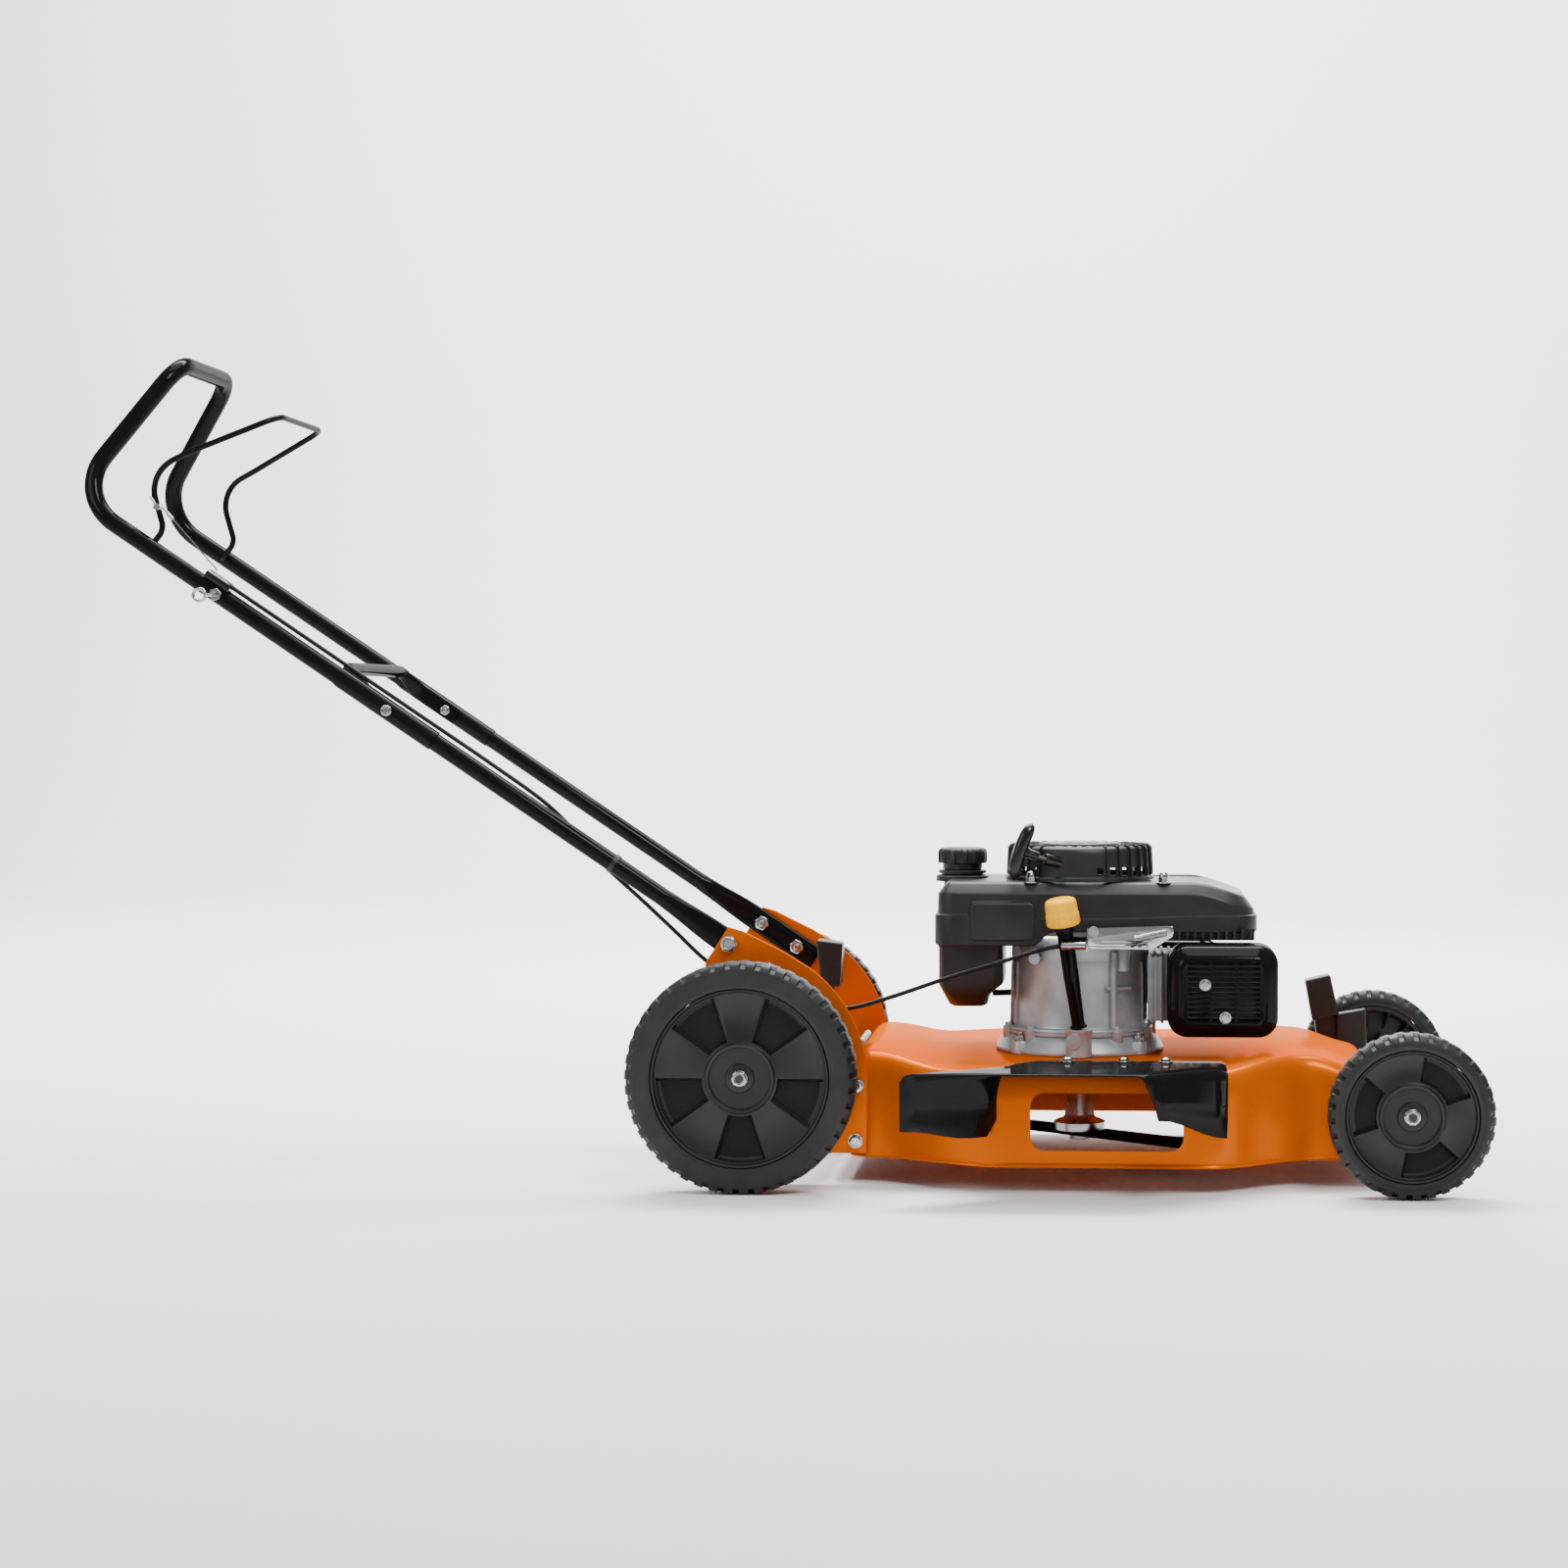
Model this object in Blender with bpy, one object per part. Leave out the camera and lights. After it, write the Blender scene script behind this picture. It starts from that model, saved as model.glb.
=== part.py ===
"""Petrol rotary push mower with a side discharge and high rear wheels.

Metres, +X forward, +Y to the operator's left, +Z up, wheels standing on Z = 0. The shapes are
written about the machine's centre plane, y = 0; the chute sticks out on one side only, so the
empty "machine" that everything hangs from moves them over by MIDDLE_Y, which puts the world
origin under the middle of the whole outline.
"""

import math

import bmesh
import bpy
from mathutils import Matrix, Vector

GAP = 0.0003  # left between pieces that touch

# Overall
MIDDLE_X = 0.0020
WHEEL_OUTER_Y = 0.285  # outboard face of all four tyres, from the centre plane
CHUTE_OUTER_Y = 0.3351
MIDDLE_Y = (CHUTE_OUTER_Y - WHEEL_OUTER_Y) / 2

# Wheels
REAR_WHEEL_R = 0.1368
REAR_WHEEL_X = -0.0345
REAR_TYRE_WIDTH = 0.047
FRONT_WHEEL_R = 0.0970
FRONT_WHEEL_X = 0.7510
FRONT_TYRE_WIDTH = 0.043
TYRE_SIDES = 40
HUB_SIDES = 40
HUB_BORE_R = 0.0068
STUB_R = 0.0062
NUT_FACE_Y = 0.2842

# Height adjustment: each axle is a rod along Y with a crank to each wheel
CRANK_R = 0.045
CRANK_REST_DEG = 30
REAR_PIVOT = (
    REAR_WHEEL_X + CRANK_R * math.cos(math.radians(CRANK_REST_DEG)),
    REAR_WHEEL_R - CRANK_R * math.sin(math.radians(CRANK_REST_DEG)),
)
FRONT_PIVOT = (
    FRONT_WHEEL_X - CRANK_R * math.cos(math.radians(CRANK_REST_DEG)),
    FRONT_WHEEL_R - CRANK_R * math.sin(math.radians(CRANK_REST_DEG)),
)
AXLE_R = 0.006

# Side plates that carry the rear axle and the handle
PLATE_Y = 0.1805  # inner face
PLATE_T = 0.003

# Handle
TUBE_R = 0.011
TUBE_WALL = 0.0014
TUBE_Y = 0.168
HANDLE_SLOPE = 0.675  # rise per metre back
HANDLE_Z0 = 0.2482  # height of the tubes' centre line at X = 0
SLEEVE_R = 0.01235
SLEEVE_X = (-0.5335, -0.4197)
GRIP_BAR = (-0.7500, 0.1045, 0.9980)
HANDLE_HEEL = (-0.8646, 0.1660, 0.8318)
BRACE_BOLT_X = -0.4755
ROPE_GUIDE_X = -0.6840
HANDLE_BOLT_X = (-0.0586, -0.0125)
BAIL_PIVOT_X = -0.7735
BAIL_R = 0.00375
BAIL_Y = 0.150

# Deck
DECK_BOTTOM = 0.031
DECK_TOP = 0.1440
DECK_WALL = 0.0018

# Engine, on a vertical crankshaft
CRANK_X = 0.3625
SHAFT_R = 0.0125
FLANGE_R = 0.105
CASE_R = 0.0855
CASE_TOP = 0.2767
BLADE_LENGTH = 0.470
BLADE_WIDTH = 0.056
BLADE_T = 0.004
BLADE_BOTTOM = 0.0375
BLADE_TURN = math.radians(-38.7)

# Engine, continued: oil filler, tank, recoil, brake and silencer guard
OIL_FOOT = Vector((0.3625, -0.1035, 0.1790))
OIL_TOP = Vector((0.3440, -0.1215, 0.3070))
OIL_TUBE_R = 0.0085
TANK_NECK = (0.2142, 0.0150)
COWL_TOP = 0.3580
RECOIL_R = 0.0925
PULL_LINE = Vector((-0.95, 0.0, 0.31)).normalized()
ROPE_EYE = Vector((0.3200, -0.0930, 0.3870))
BRAKE_PIVOT = (0.4370, -0.0880)
GUARD_FRONT = -0.1420
GUARD_WALL = 0.0020
CABLE_Y = -0.1340
CABLE_Z = 0.2835
HOOK_X = 0.4218

COLOURS = {
    "orange_enamel": ((0.72, 0.17, 0.008), 0.28, 0.0),
    "black_enamel": ((0.012, 0.012, 0.013), 0.25, 0.0),
    "black_plastic": ((0.022, 0.022, 0.023), 0.5, 0.0),
    "wheel_plastic": ((0.03, 0.03, 0.031), 0.55, 0.0),
    "tyre_rubber": ((0.035, 0.035, 0.036), 0.75, 0.0),
    "flap_rubber": ((0.02, 0.02, 0.02), 0.8, 0.0),
    "cast_aluminium": ((0.52, 0.53, 0.54), 0.5, 0.9),
    "zinc_steel": ((0.72, 0.73, 0.75), 0.3, 1.0),
    "dark_steel": ((0.16, 0.16, 0.17), 0.45, 0.9),
    "yellow_plastic": ((0.9, 0.48, 0.03), 0.35, 0.0),
    "cable_jacket": ((0.03, 0.03, 0.03), 0.5, 0.0),
    "rope_fibre": ((0.05, 0.05, 0.05), 0.8, 0.0),
}


# ---------------------------------------------------------------- making objects


def clear_scene():
    for obj in list(bpy.data.objects):
        bpy.data.objects.remove(obj, do_unlink=True)


def finish(name):
    """The material of that name, made once."""
    found = bpy.data.materials.get(name)
    if found:
        return found
    colour, roughness, metallic = COLOURS[name]
    made = bpy.data.materials.new(name)
    made.use_nodes = True
    made.diffuse_color = (*colour, 1.0)
    shader = made.node_tree.nodes["Principled BSDF"]
    shader.inputs["Base Color"].default_value = (*colour, 1.0)
    shader.inputs["Roughness"].default_value = roughness
    shader.inputs["Metallic"].default_value = metallic
    return made


def empty(name, place, parent=None):
    made = bpy.data.objects.new(name, None)
    made.location = place
    made.parent = parent
    bpy.context.scene.collection.objects.link(made)
    return made


def add(name, mesh, material, pivot):
    """One sub-part, drawn in the machine's coordinates, hung from the empty that it moves with."""
    made = bpy.data.objects.new(name, mesh)
    mesh.materials.append(finish(material))
    bpy.context.scene.collection.objects.link(made)
    made.parent = pivot
    if pivot.parent:
        made.matrix_parent_inverse = Matrix.Translation(pivot.location).inverted()
    return made


def cut(target, *meshes):
    """Cuts each mesh out of the target with a Boolean."""
    for index, mesh in enumerate(meshes):
        tool = add(f"{target.name}_cutter_{index}", mesh, "dark_steel", target.parent)
        tool.hide_render = True
        tool.display_type = "WIRE"
        boolean = target.modifiers.new(f"cut_{index}", "BOOLEAN")
        boolean.operation = "DIFFERENCE"
        boolean.solver = "EXACT"
        boolean.object = tool


def join(target, *meshes):
    """Fuses each mesh to the target with a Boolean."""
    for index, mesh in enumerate(meshes):
        extra = add(f"{target.name}_extra_{index}", mesh, "dark_steel", target.parent)
        extra.hide_render = True
        extra.display_type = "WIRE"
        boolean = target.modifiers.new(f"join_{index}", "BOOLEAN")
        boolean.operation = "UNION"
        boolean.solver = "EXACT"
        boolean.object = extra


# ---------------------------------------------------------------- meshes


def mesh_of(bm, smooth_deg=35):
    bmesh.ops.recalc_face_normals(bm, faces=bm.faces)
    mesh = bpy.data.meshes.new("piece")
    bm.to_mesh(mesh)
    bm.free()
    mesh.shade_smooth()
    mesh.set_sharp_from_angle(angle=math.radians(smooth_deg))
    return mesh


def rings_mesh(rings, closed=False):
    """Skins a list of rings of points, with flat caps, or as a closed loop of rings."""
    bm = bmesh.new()
    rows = [[bm.verts.new(point) for point in ring] for ring in rings]
    count = len(rows[0])
    pairs = list(zip(rows, rows[1:]))
    if closed:
        pairs.append((rows[-1], rows[0]))
    for low, high in pairs:
        for i in range(count):
            j = (i + 1) % count
            bm.faces.new((low[i], low[j], high[j], high[i]))
    if not closed:
        bm.faces.new(reversed(rows[0]))
        bm.faces.new(rows[-1])
    return mesh_of(bm)


def box(low, high):
    plan = [(low[0], low[1]), (high[0], low[1]), (high[0], high[1]), (low[0], high[1])]
    return prism(plan, low[2], high[2])


def prism(outline, z0, z1):
    """An outline of (x, y) points, standing from z0 up to z1."""
    return rings_mesh([[(x, y, z) for x, y in outline] for z in (z0, z1)])


def slab(outline, y0, y1):
    """An outline of (x, z) points, as a slab between y0 and y1."""
    return rings_mesh([[(x, y, z) for x, z in outline] for y in (y0, y1)])


def frame_along(direction):
    """Two unit vectors square to a direction."""
    along = Vector(direction).normalized()
    side = along.cross(Vector((0, 0, 1)) if abs(along.z) < 0.9 else Vector((0, 1, 0))).normalized()
    return side, along.cross(side)


def turned(profile, base, direction, sides, start=0.0):
    """Turns (radius, distance) points about the line from base; a closed profile makes a ring."""
    side, up = frame_along(direction)
    along = Vector(direction).normalized()
    rings = []
    for radius, distance in profile:
        centre = Vector(base) + along * distance
        turns = [start + math.tau * i / sides for i in range(sides)]
        rings.append([centre + side * (radius * math.cos(t)) + up * (radius * math.sin(t)) for t in turns])
    return rings


def rod(start, end, radius, sides=12, turn=0.0):
    length = (Vector(end) - Vector(start)).length
    direction = Vector(end) - Vector(start)
    return rings_mesh(turned([(radius, 0), (radius, length)], start, direction, sides, turn))


def solid_turned(profile, base, direction=(0, 0, 1), sides=24, start=0.0):
    return rings_mesh(turned(profile, base, direction, sides, start))


def ring_turned(profile, base, direction=(0, 0, 1), sides=24, start=0.0):
    """A turned piece with a hole through it: the profile goes round its section."""
    return rings_mesh(turned(profile, base, direction, sides, start), closed=True)


def rounded(low, high, radius, steps=4):
    """A rectangle with rounded corners."""
    corners = [
        (high[0] - radius, high[1] - radius, 0),
        (low[0] + radius, high[1] - radius, 90),
        (low[0] + radius, low[1] + radius, 180),
        (high[0] - radius, low[1] + radius, 270),
    ]
    points = []
    for x, y, start in corners:
        for i in range(steps + 1):
            angle = math.radians(start + 90 * i / steps)
            points.append((x + radius * math.cos(angle), y + radius * math.sin(angle)))
    return points


def filleted(points, radii, steps=6):
    """A path through points with its inner corners rounded, each to its own radius."""
    points = [Vector(p) for p in points]
    path = [points[0]]
    for before, corner, after, radius in zip(points, points[1:], points[2:], radii):
        if radius == 0:
            path.append(corner)
            continue
        a = (before - corner).normalized()
        b = (after - corner).normalized()
        half = a.angle(b) / 2
        reach = radius / math.tan(half)
        centre = corner + (a + b).normalized() * (radius / math.sin(half))
        start = corner + a * reach - centre
        end = corner + b * reach - centre
        sweep = start.angle(end)
        for i in range(steps + 1):
            t = i / steps
            spoke = start * math.sin((1 - t) * sweep) + end * math.sin(t * sweep)
            path.append(centre + spoke / math.sin(sweep))
    path.append(points[-1])
    return path


def sections(path, radii, sides, squash=None):
    """Rings across a path; squash gives each point's half thickness along Y where it is flattened."""
    rings = []
    side = None
    for i, point in enumerate(path):
        before = path[max(i - 1, 0)]
        after = path[min(i + 1, len(path) - 1)]
        along = (after - before).normalized()
        if side is None:
            side = Vector((0, 1, 0)) if abs(along.y) < 0.9 else Vector((0, 0, 1))
        side = (side - along * side.dot(along)).normalized()
        up = along.cross(side)
        ring = []
        for k in range(sides):
            angle = math.tau * (k + 0.5) / sides
            c, s = math.cos(angle), math.sin(angle)
            if squash and squash[i]:
                c = math.copysign(abs(c) ** 0.35, c) * squash[i]
                s = s * radii[i]
            else:
                c, s = c * radii[i], s * radii[i]
            ring.append(point + side * c + up * s)
        rings.append(ring)
    return rings


def bar_along(path, radius, sides=8):
    return rings_mesh(sections(path, [radius] * len(path), sides))


def pipe_along(path, radii, wall, sides=10, squash=None):
    """A tube open at both ends."""
    inner_squash = [s - wall if s else None for s in squash] if squash else None
    outer = sections(path, radii, sides, squash)
    inner = sections(path, [r - wall for r in radii], sides, inner_squash)
    return rings_mesh(outer + inner[::-1], closed=True)


def mirrored(point, side):
    return (point[0], point[1] * side, point[2])


# ---------------------------------------------------------------- deck and its plates


def smooth_step(x, start, end):
    t = min(max((x - start) / (end - start), 0.0), 1.0)
    return t * t * (3 - 2 * t)


def deck_half_width(x):
    """Narrow between the side plates, wide round the blade, narrow again between the front wheels."""
    wide = 0.072 * smooth_step(x, 0.110, 0.275) * (1 - smooth_step(x, 0.515, 0.645))
    return 0.1795 + wide - 0.004 * smooth_step(x, 0.515, 0.645)


def deck_top(x):
    """Flat under the engine, with a low hump behind it and another in front."""
    rear = 0.0150 * (1 - smooth_step(x, 0.115, 0.200))
    front = 0.0125 * smooth_step(x, 0.520, 0.605) - 0.020 * smooth_step(x, 0.635, 0.715)
    return DECK_TOP + rear + front


def deck_outline(inset):
    """Plan of the deck, drawn in by a distance, counter-clockwise from the rear right."""
    rear, front, corner = 0.088, 0.728, 0.030
    stations = [rear + corner + (front - rear - 2 * corner) * i / 15 for i in range(16)]
    side = [(x, deck_half_width(x) - inset) for x in stations]
    turn = [math.radians(a) for a in (22, 45, 68)]
    half = side[-1][1]
    radius = corner - inset
    nose = [(stations[-1] + radius * math.sin(a), half - corner + inset + radius * math.cos(a)) for a in turn]
    nose.append((front - inset, half - corner + inset))
    half = side[0][1]
    tail = [(stations[0] - radius * math.sin(a), half - corner + inset + radius * math.cos(a)) for a in turn]
    tail.append((rear + inset, half - corner + inset))
    left = tail[::-1] + side + nose
    return [(x, -y) for x, y in left] + left[::-1]


def deck_rings(wall):
    """Rings from the skirt's lower edge to the edge of the top; wall draws the inner side."""
    levels = [(0.0, None), (0.002, -0.020), (0.007, -0.007), (0.020, 0.0)]
    rings = []
    for inset, below in levels:
        ring = []
        for x, y in deck_outline(inset + wall):
            z = DECK_BOTTOM if below is None else deck_top(x) + below - wall
            ring.append((x, y, z))
        rings.append(ring)
    return rings


def make_deck(machine):
    outer = deck_rings(0.0)
    inner = deck_rings(DECK_WALL)
    bm = bmesh.new()
    rows = [[bm.verts.new(p) for p in ring] for ring in inner[::-1] + outer]
    count = len(rows[0])
    for low, high in zip(rows, rows[1:]):
        for i in range(count):
            j = (i + 1) % count
            bm.faces.new((low[i], low[j], high[j], high[i]))
    half = count // 2
    for row in (rows[0], rows[-1]):
        for i in range(half - 1):
            bm.faces.new((row[i], row[i + 1], row[count - 2 - i], row[count - 1 - i]))
    deck = add("deck_shell", mesh_of(bm), "orange_enamel", machine)
    mouth = slab([(x, z) for x, z in rounded((0.3065, 0.0510), (0.4865, 0.1190), 0.016, 3)], -0.28, -0.20)
    axle_holes = rod((FRONT_PIVOT[0], -0.2, FRONT_PIVOT[1]), (FRONT_PIVOT[0], 0.2, FRONT_PIVOT[1]), 0.0075)
    shaft_hole = rod((CRANK_X, 0, 0.12), (CRANK_X, 0, 0.16), 0.030, 20)
    cut(deck, mouth, axle_holes, shaft_hole)


def plate_outline():
    """Side plate: round in front, about the rear wheel, and cut off square where the handle joins it."""
    centre, radius = (-0.0592, 0.1235), 0.168
    arc = [math.radians(a) for a in range(-2, 54, 8)]
    points = [(0.1078, 0.0360), (0.1088, 0.0900)]
    points += [(centre[0] + radius * math.cos(a), centre[1] + radius * math.sin(a)) for a in arc]
    points += [(0.0080, 0.2790), (-0.0420, 0.3035), (-0.0590, 0.3085), (-0.0870, 0.2655)]
    points += [(-0.0930, 0.1700), (-0.0800, 0.0900), (-0.0450, 0.0450), (0.0, 0.0360)]
    return points


def make_side_plate(name, side, machine):
    near, far = sorted((side * PLATE_Y, side * (PLATE_Y + PLATE_T)))
    plate = add(name, slab(plate_outline(), near, far), "orange_enamel", machine)
    holes = [(REAR_PIVOT[0], REAR_PIVOT[1], 0.0075)]
    holes += [(x, handle_z(x), 0.0047) for x in HANDLE_BOLT_X]
    cut(plate, *[rod((x, near - 0.01, z), (x, far + 0.01, z), r) for x, z, r in holes])


def make_flap(machine):
    """Trailing guard behind the deck, swinging on a rod between the side plates."""
    x, z = 0.0620, 0.1330
    reach = PLATE_Y - GAP
    pin = rod((x, -reach, z), (x, reach, z), 0.0035)
    add("flap_rod", pin, "zinc_steel", machine)
    pivot = empty("flap_axis", (x, 0, z), machine)
    width = PLATE_Y - 0.006
    tongue = [(x - 0.002, 0.0340), (x + 0.002, 0.0340), (x + 0.0030, z), (x - 0.0030, z)]
    flap = add("rear_flap", slab(tongue, -width, width), "flap_rubber", pivot)
    join(flap, rod((x, -width, z), (x, width, z), 0.0075, 14))
    cut(flap, rod((x, -0.19, z), (x, 0.19, z), 0.0040, 12))


def make_stay_pin(machine):
    x, z = 0.1010, 0.1692
    add("stay_pin", rod((x, -PLATE_Y + GAP, z), (x, -0.0755, z), 0.0042), "zinc_steel", machine)


def make_chute(machine):
    """Folded sheet over the side opening: a flat top and two swept wings, turned out to the rear."""
    z = 0.1495
    top = [(0.317, -0.190), (0.534, -0.190), (0.5385, -0.2600), (0.456, -0.3340), (0.168, -0.3340), (0.268, -0.2600)]
    front = [(0.5385, -0.2600, 0.0715), (0.456, -0.3340, 0.1010)]
    rear = [(0.254, -0.2600, 0.0715), (0.2177, -0.2950, 0.0750), (0.155, -0.3340, 0.0864)]
    bm = bmesh.new()
    tops = [bm.verts.new((x, y, z)) for x, y in top]
    bm.faces.new(tops)
    low = [bm.verts.new(p) for p in front]
    bm.faces.new((tops[2], low[0], low[1], tops[3]))
    low = [bm.verts.new(p) for p in rear]
    bm.faces.new((tops[4], low[2], low[1], low[0], tops[5]))
    bmesh.ops.triangulate(bm, faces=bm.faces[:])
    chute = add("discharge_chute", mesh_of(bm), "black_enamel", machine)
    skin = chute.modifiers.new("thickness", "SOLIDIFY")
    skin.thickness = 0.0018
    skin.offset = 0.0
    skin.use_even_offset = True


# ---------------------------------------------------------------- wheels and axles


def wheel_facets(sides):
    """Starts the turn so that a flat, not a corner, is lowest."""
    return math.pi / sides


def make_wheel(name, centre, side, radius, width, rim_r, pockets, pivot):
    """A tyre on a moulded hub, whose outboard face has raised and sunk sectors round the boss."""
    x, z = centre
    out = Vector((0, side, 0))
    base = Vector((x, 0, z))
    outer = WHEEL_OUTER_Y
    inner = outer - width
    crown = radius / math.cos(math.pi / TYRE_SIDES)
    tread = [
        (rim_r, inner + 0.003),
        (crown - 0.006, inner),
        (crown, inner + 0.005),
        (crown, outer - 0.005),
        (crown - 0.006, outer),
        (rim_r, outer - 0.003),
    ]
    turn = wheel_facets(TYRE_SIDES)
    tyre = ring_turned(tread[::-1], base, out, TYRE_SIDES, turn)
    add(f"{name}_tyre", tyre, "tyre_rubber", pivot)
    rim = rim_r - GAP
    boss = 0.0417 if radius > 0.12 else 0.0388
    face = outer - 0.0085
    hub = [
        (HUB_BORE_R, 0.222),
        (0.018, 0.222),
        (0.020, face - 0.010),
        (rim - 0.010, face - 0.010),
        (rim - 0.006, inner + 0.004),
        (rim, inner + 0.004),
        (rim, outer - 0.0035),
        (rim - 0.003, outer - 0.0035),
        (rim - 0.005, face),
        (boss, face),
        (boss - 0.001, outer - 0.0055),
        (boss - 0.004, outer - 0.0055),
        (boss - 0.006, face - 0.001),
        (HUB_BORE_R, face - 0.001),
    ]
    made = add(f"{name}_hub", ring_turned(hub[::-1], base, out, HUB_SIDES, turn), "wheel_plastic", pivot)
    first, span, gap_r = pockets
    cutters = []
    for centre_deg in first:
        low, high = math.radians(centre_deg - span / 2), math.radians(centre_deg + span / 2)
        angles = [low + (high - low) * i / 3 for i in range(4)]
        near, far = boss + gap_r, rim - 0.008
        outline = [(x + far * math.cos(a), z + far * math.sin(a)) for a in angles]
        outline += [(x + near * math.cos(a), z + near * math.sin(a)) for a in angles[::-1]]
        y0, y1 = sorted((side * (face - 0.0065), side * (outer + 0.01)))
        cutters.append(slab(outline, y0, y1))
    cut(made, *cutters)


def crank_arm(pivot, wheel, y0, y1):
    """A flat link with round ends from the axle rod to the wheel's stub."""
    along = Vector((wheel[0] - pivot[0], 0, wheel[1] - pivot[1]))
    angle = math.atan2(along.z, along.x)
    turns = [math.radians(a) for a in range(-90, 91, 30)]
    outline = [(wheel[0] + 0.011 * math.cos(angle + t), wheel[1] + 0.011 * math.sin(angle + t)) for t in turns]
    back = angle + math.pi
    outline += [(pivot[0] + 0.011 * math.cos(back + t), pivot[1] + 0.011 * math.sin(back + t)) for t in turns]
    return slab(outline, *sorted((y0, y1)))


def make_axle(name, pivot_xz, wheel_xz, arm_y, pivot):
    """Cross rod, a crank at each end and the stub, shoulder and nut that hold each wheel."""
    x, z = pivot_xz
    wx, wz = wheel_xz
    axle = add(name, rod((x, -arm_y, z), (x, arm_y, z), AXLE_R), "zinc_steel", pivot)
    parts = []
    for side in (-1, 1):
        parts.append(crank_arm(pivot_xz, wheel_xz, side * (arm_y - 0.0005), side * (arm_y + 0.0055)))
        stub = [
            (0.0100, arm_y + 0.004),
            (0.0100, 0.2215),
            (STUB_R, 0.2215),
            (STUB_R, 0.2764),
            (0.0095, 0.2764),
            (0.0095, NUT_FACE_Y),
        ]
        parts.append(solid_turned(stub, (wx, 0, wz), (0, side, 0), 12))
    join(axle, *parts)


def make_front_lever(pivot):
    """Left front height lever: a boss on the axle rod, a broad block and a knob above it."""
    x, z = FRONT_PIVOT
    low, high = 0.1880, 0.2040
    blade = [(x - 0.014, z - 0.010), (x + 0.012, z - 0.012), (x + 0.0270, 0.1150), (0.7370, 0.1770), (0.6990, 0.1700)]
    lever = add("front_height_lever", slab(blade, low, high), "black_plastic", pivot)
    strap = [(0.6990, 0.1000), (0.7060, 0.1600), (0.7000, 0.1800), (0.6690, 0.1720), (0.6760, 0.1150)]
    knob = [(0.6670, 0.1600), (0.7020, 0.1680), (0.6905, 0.2215), (0.6575, 0.2135)]
    join(lever, slab(strap, 0.1990, 0.2080), slab(knob, 0.1900, 0.2200))
    cut(lever, rod((x, 0.18, z), (x, 0.23, z), AXLE_R + GAP))


def make_rear_lever(pivot):
    """Rear height lever, inboard of the left plate: a strap up from the axle rod to a flat knob."""
    x, z = REAR_PIVOT
    strap = [(x - 0.013, z - 0.013), (x + 0.013, z - 0.013), (x + 0.017, z + 0.010), (0.0420, 0.2200), (0.0260, 0.2200)]
    lever = add("rear_height_lever", slab(strap, 0.1480, 0.1560), "black_plastic", pivot)
    knob = [(0.0250, 0.2060), (0.0470, 0.2080), (0.0495, 0.2650), (0.0190, 0.2690)]
    join(lever, slab(knob, 0.1280, 0.1600))
    cut(lever, rod((x, 0.14, z), (x, 0.17, z), AXLE_R + GAP))


def make_running_gear(machine):
    rear_wheel = (REAR_WHEEL_X, REAR_WHEEL_R)
    front_wheel = (FRONT_WHEEL_X, FRONT_WHEEL_R)
    rear = empty("rear_axle_axis", (REAR_PIVOT[0], 0, REAR_PIVOT[1]), machine)
    front = empty("front_axle_axis", (FRONT_PIVOT[0], 0, FRONT_PIVOT[1]), machine)
    make_axle("rear_axle", REAR_PIVOT, rear_wheel, 0.1980, rear)
    make_axle("front_axle", FRONT_PIVOT, front_wheel, 0.2110, front)
    make_front_lever(front)
    make_rear_lever(rear)
    for side, hand in ((-1, "right"), (1, "left")):
        turn = empty(f"rear_{hand}_wheel_axis", (REAR_WHEEL_X, 0, REAR_WHEEL_R), machine)
        fives = ([270, 342, 54, 126, 198], 36, 0.002)
        make_wheel(f"rear_{hand}", rear_wheel, side, REAR_WHEEL_R, REAR_TYRE_WIDTH, 0.1055, fives, turn)
        turn = empty(f"front_{hand}_wheel_axis", (FRONT_WHEEL_X, 0, FRONT_WHEEL_R), machine)
        threes = ([169, 289, 49], 60, 0.0005)
        make_wheel(f"front_{hand}", front_wheel, side, FRONT_WHEEL_R, FRONT_TYRE_WIDTH, 0.0775, threes, turn)


# ---------------------------------------------------------------- handle


def handle_z(x):
    """Height of the handle tubes' centre line."""
    return HANDLE_Z0 - HANDLE_SLOPE * x


def on_tube(x, side, degrees, distance):
    """A point beside a handle tube: 0 degrees is above it and 90 is inboard."""
    tilt = math.atan(HANDLE_SLOPE)
    turn = math.radians(degrees)
    lift = distance * math.cos(turn)
    inboard = distance * math.sin(turn)
    return (x + lift * math.sin(tilt), side * (TUBE_Y - inboard), handle_z(x) + lift * math.cos(tilt))


def make_lower_handle(name, side, machine):
    """A tube whose top slips into the upper handle and whose foot is flattened against its plate."""
    stations = [
        (-0.5000, 0.0, 0.00980, None),
        (-0.4192, 0.0, 0.00980, None),
        (-0.4190, 0.0, TUBE_R, None),
        (-0.1350, 0.0, TUBE_R, None),
        (-0.1080, 0.0030, 0.01250, 0.0090),
        (-0.0860, 0.0075, 0.01500, 0.0050),
        (-0.0700, 0.0086, 0.01550, 0.0035),
        (0.0120, 0.0086, 0.01550, 0.0035),
    ]
    path = [Vector((x, side * (TUBE_Y + out), handle_z(x))) for x, out, _, _ in stations]
    radii = [r for _, _, r, _ in stations]
    squash = [s for _, _, _, s in stations]
    mesh = pipe_along(path, radii, TUBE_WALL, 10, squash)
    tube = add(name, mesh, "black_enamel", machine)
    holes = [rod((x, side * 0.14, handle_z(x)), (x, side * 0.20, handle_z(x)), 0.0047) for x in HANDLE_BOLT_X]
    x = BRACE_BOLT_X
    holes.append(rod((x, side * 0.14, handle_z(x)), (x, side * 0.20, handle_z(x)), 0.0034, 10))
    cut(tube, *holes)


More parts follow.
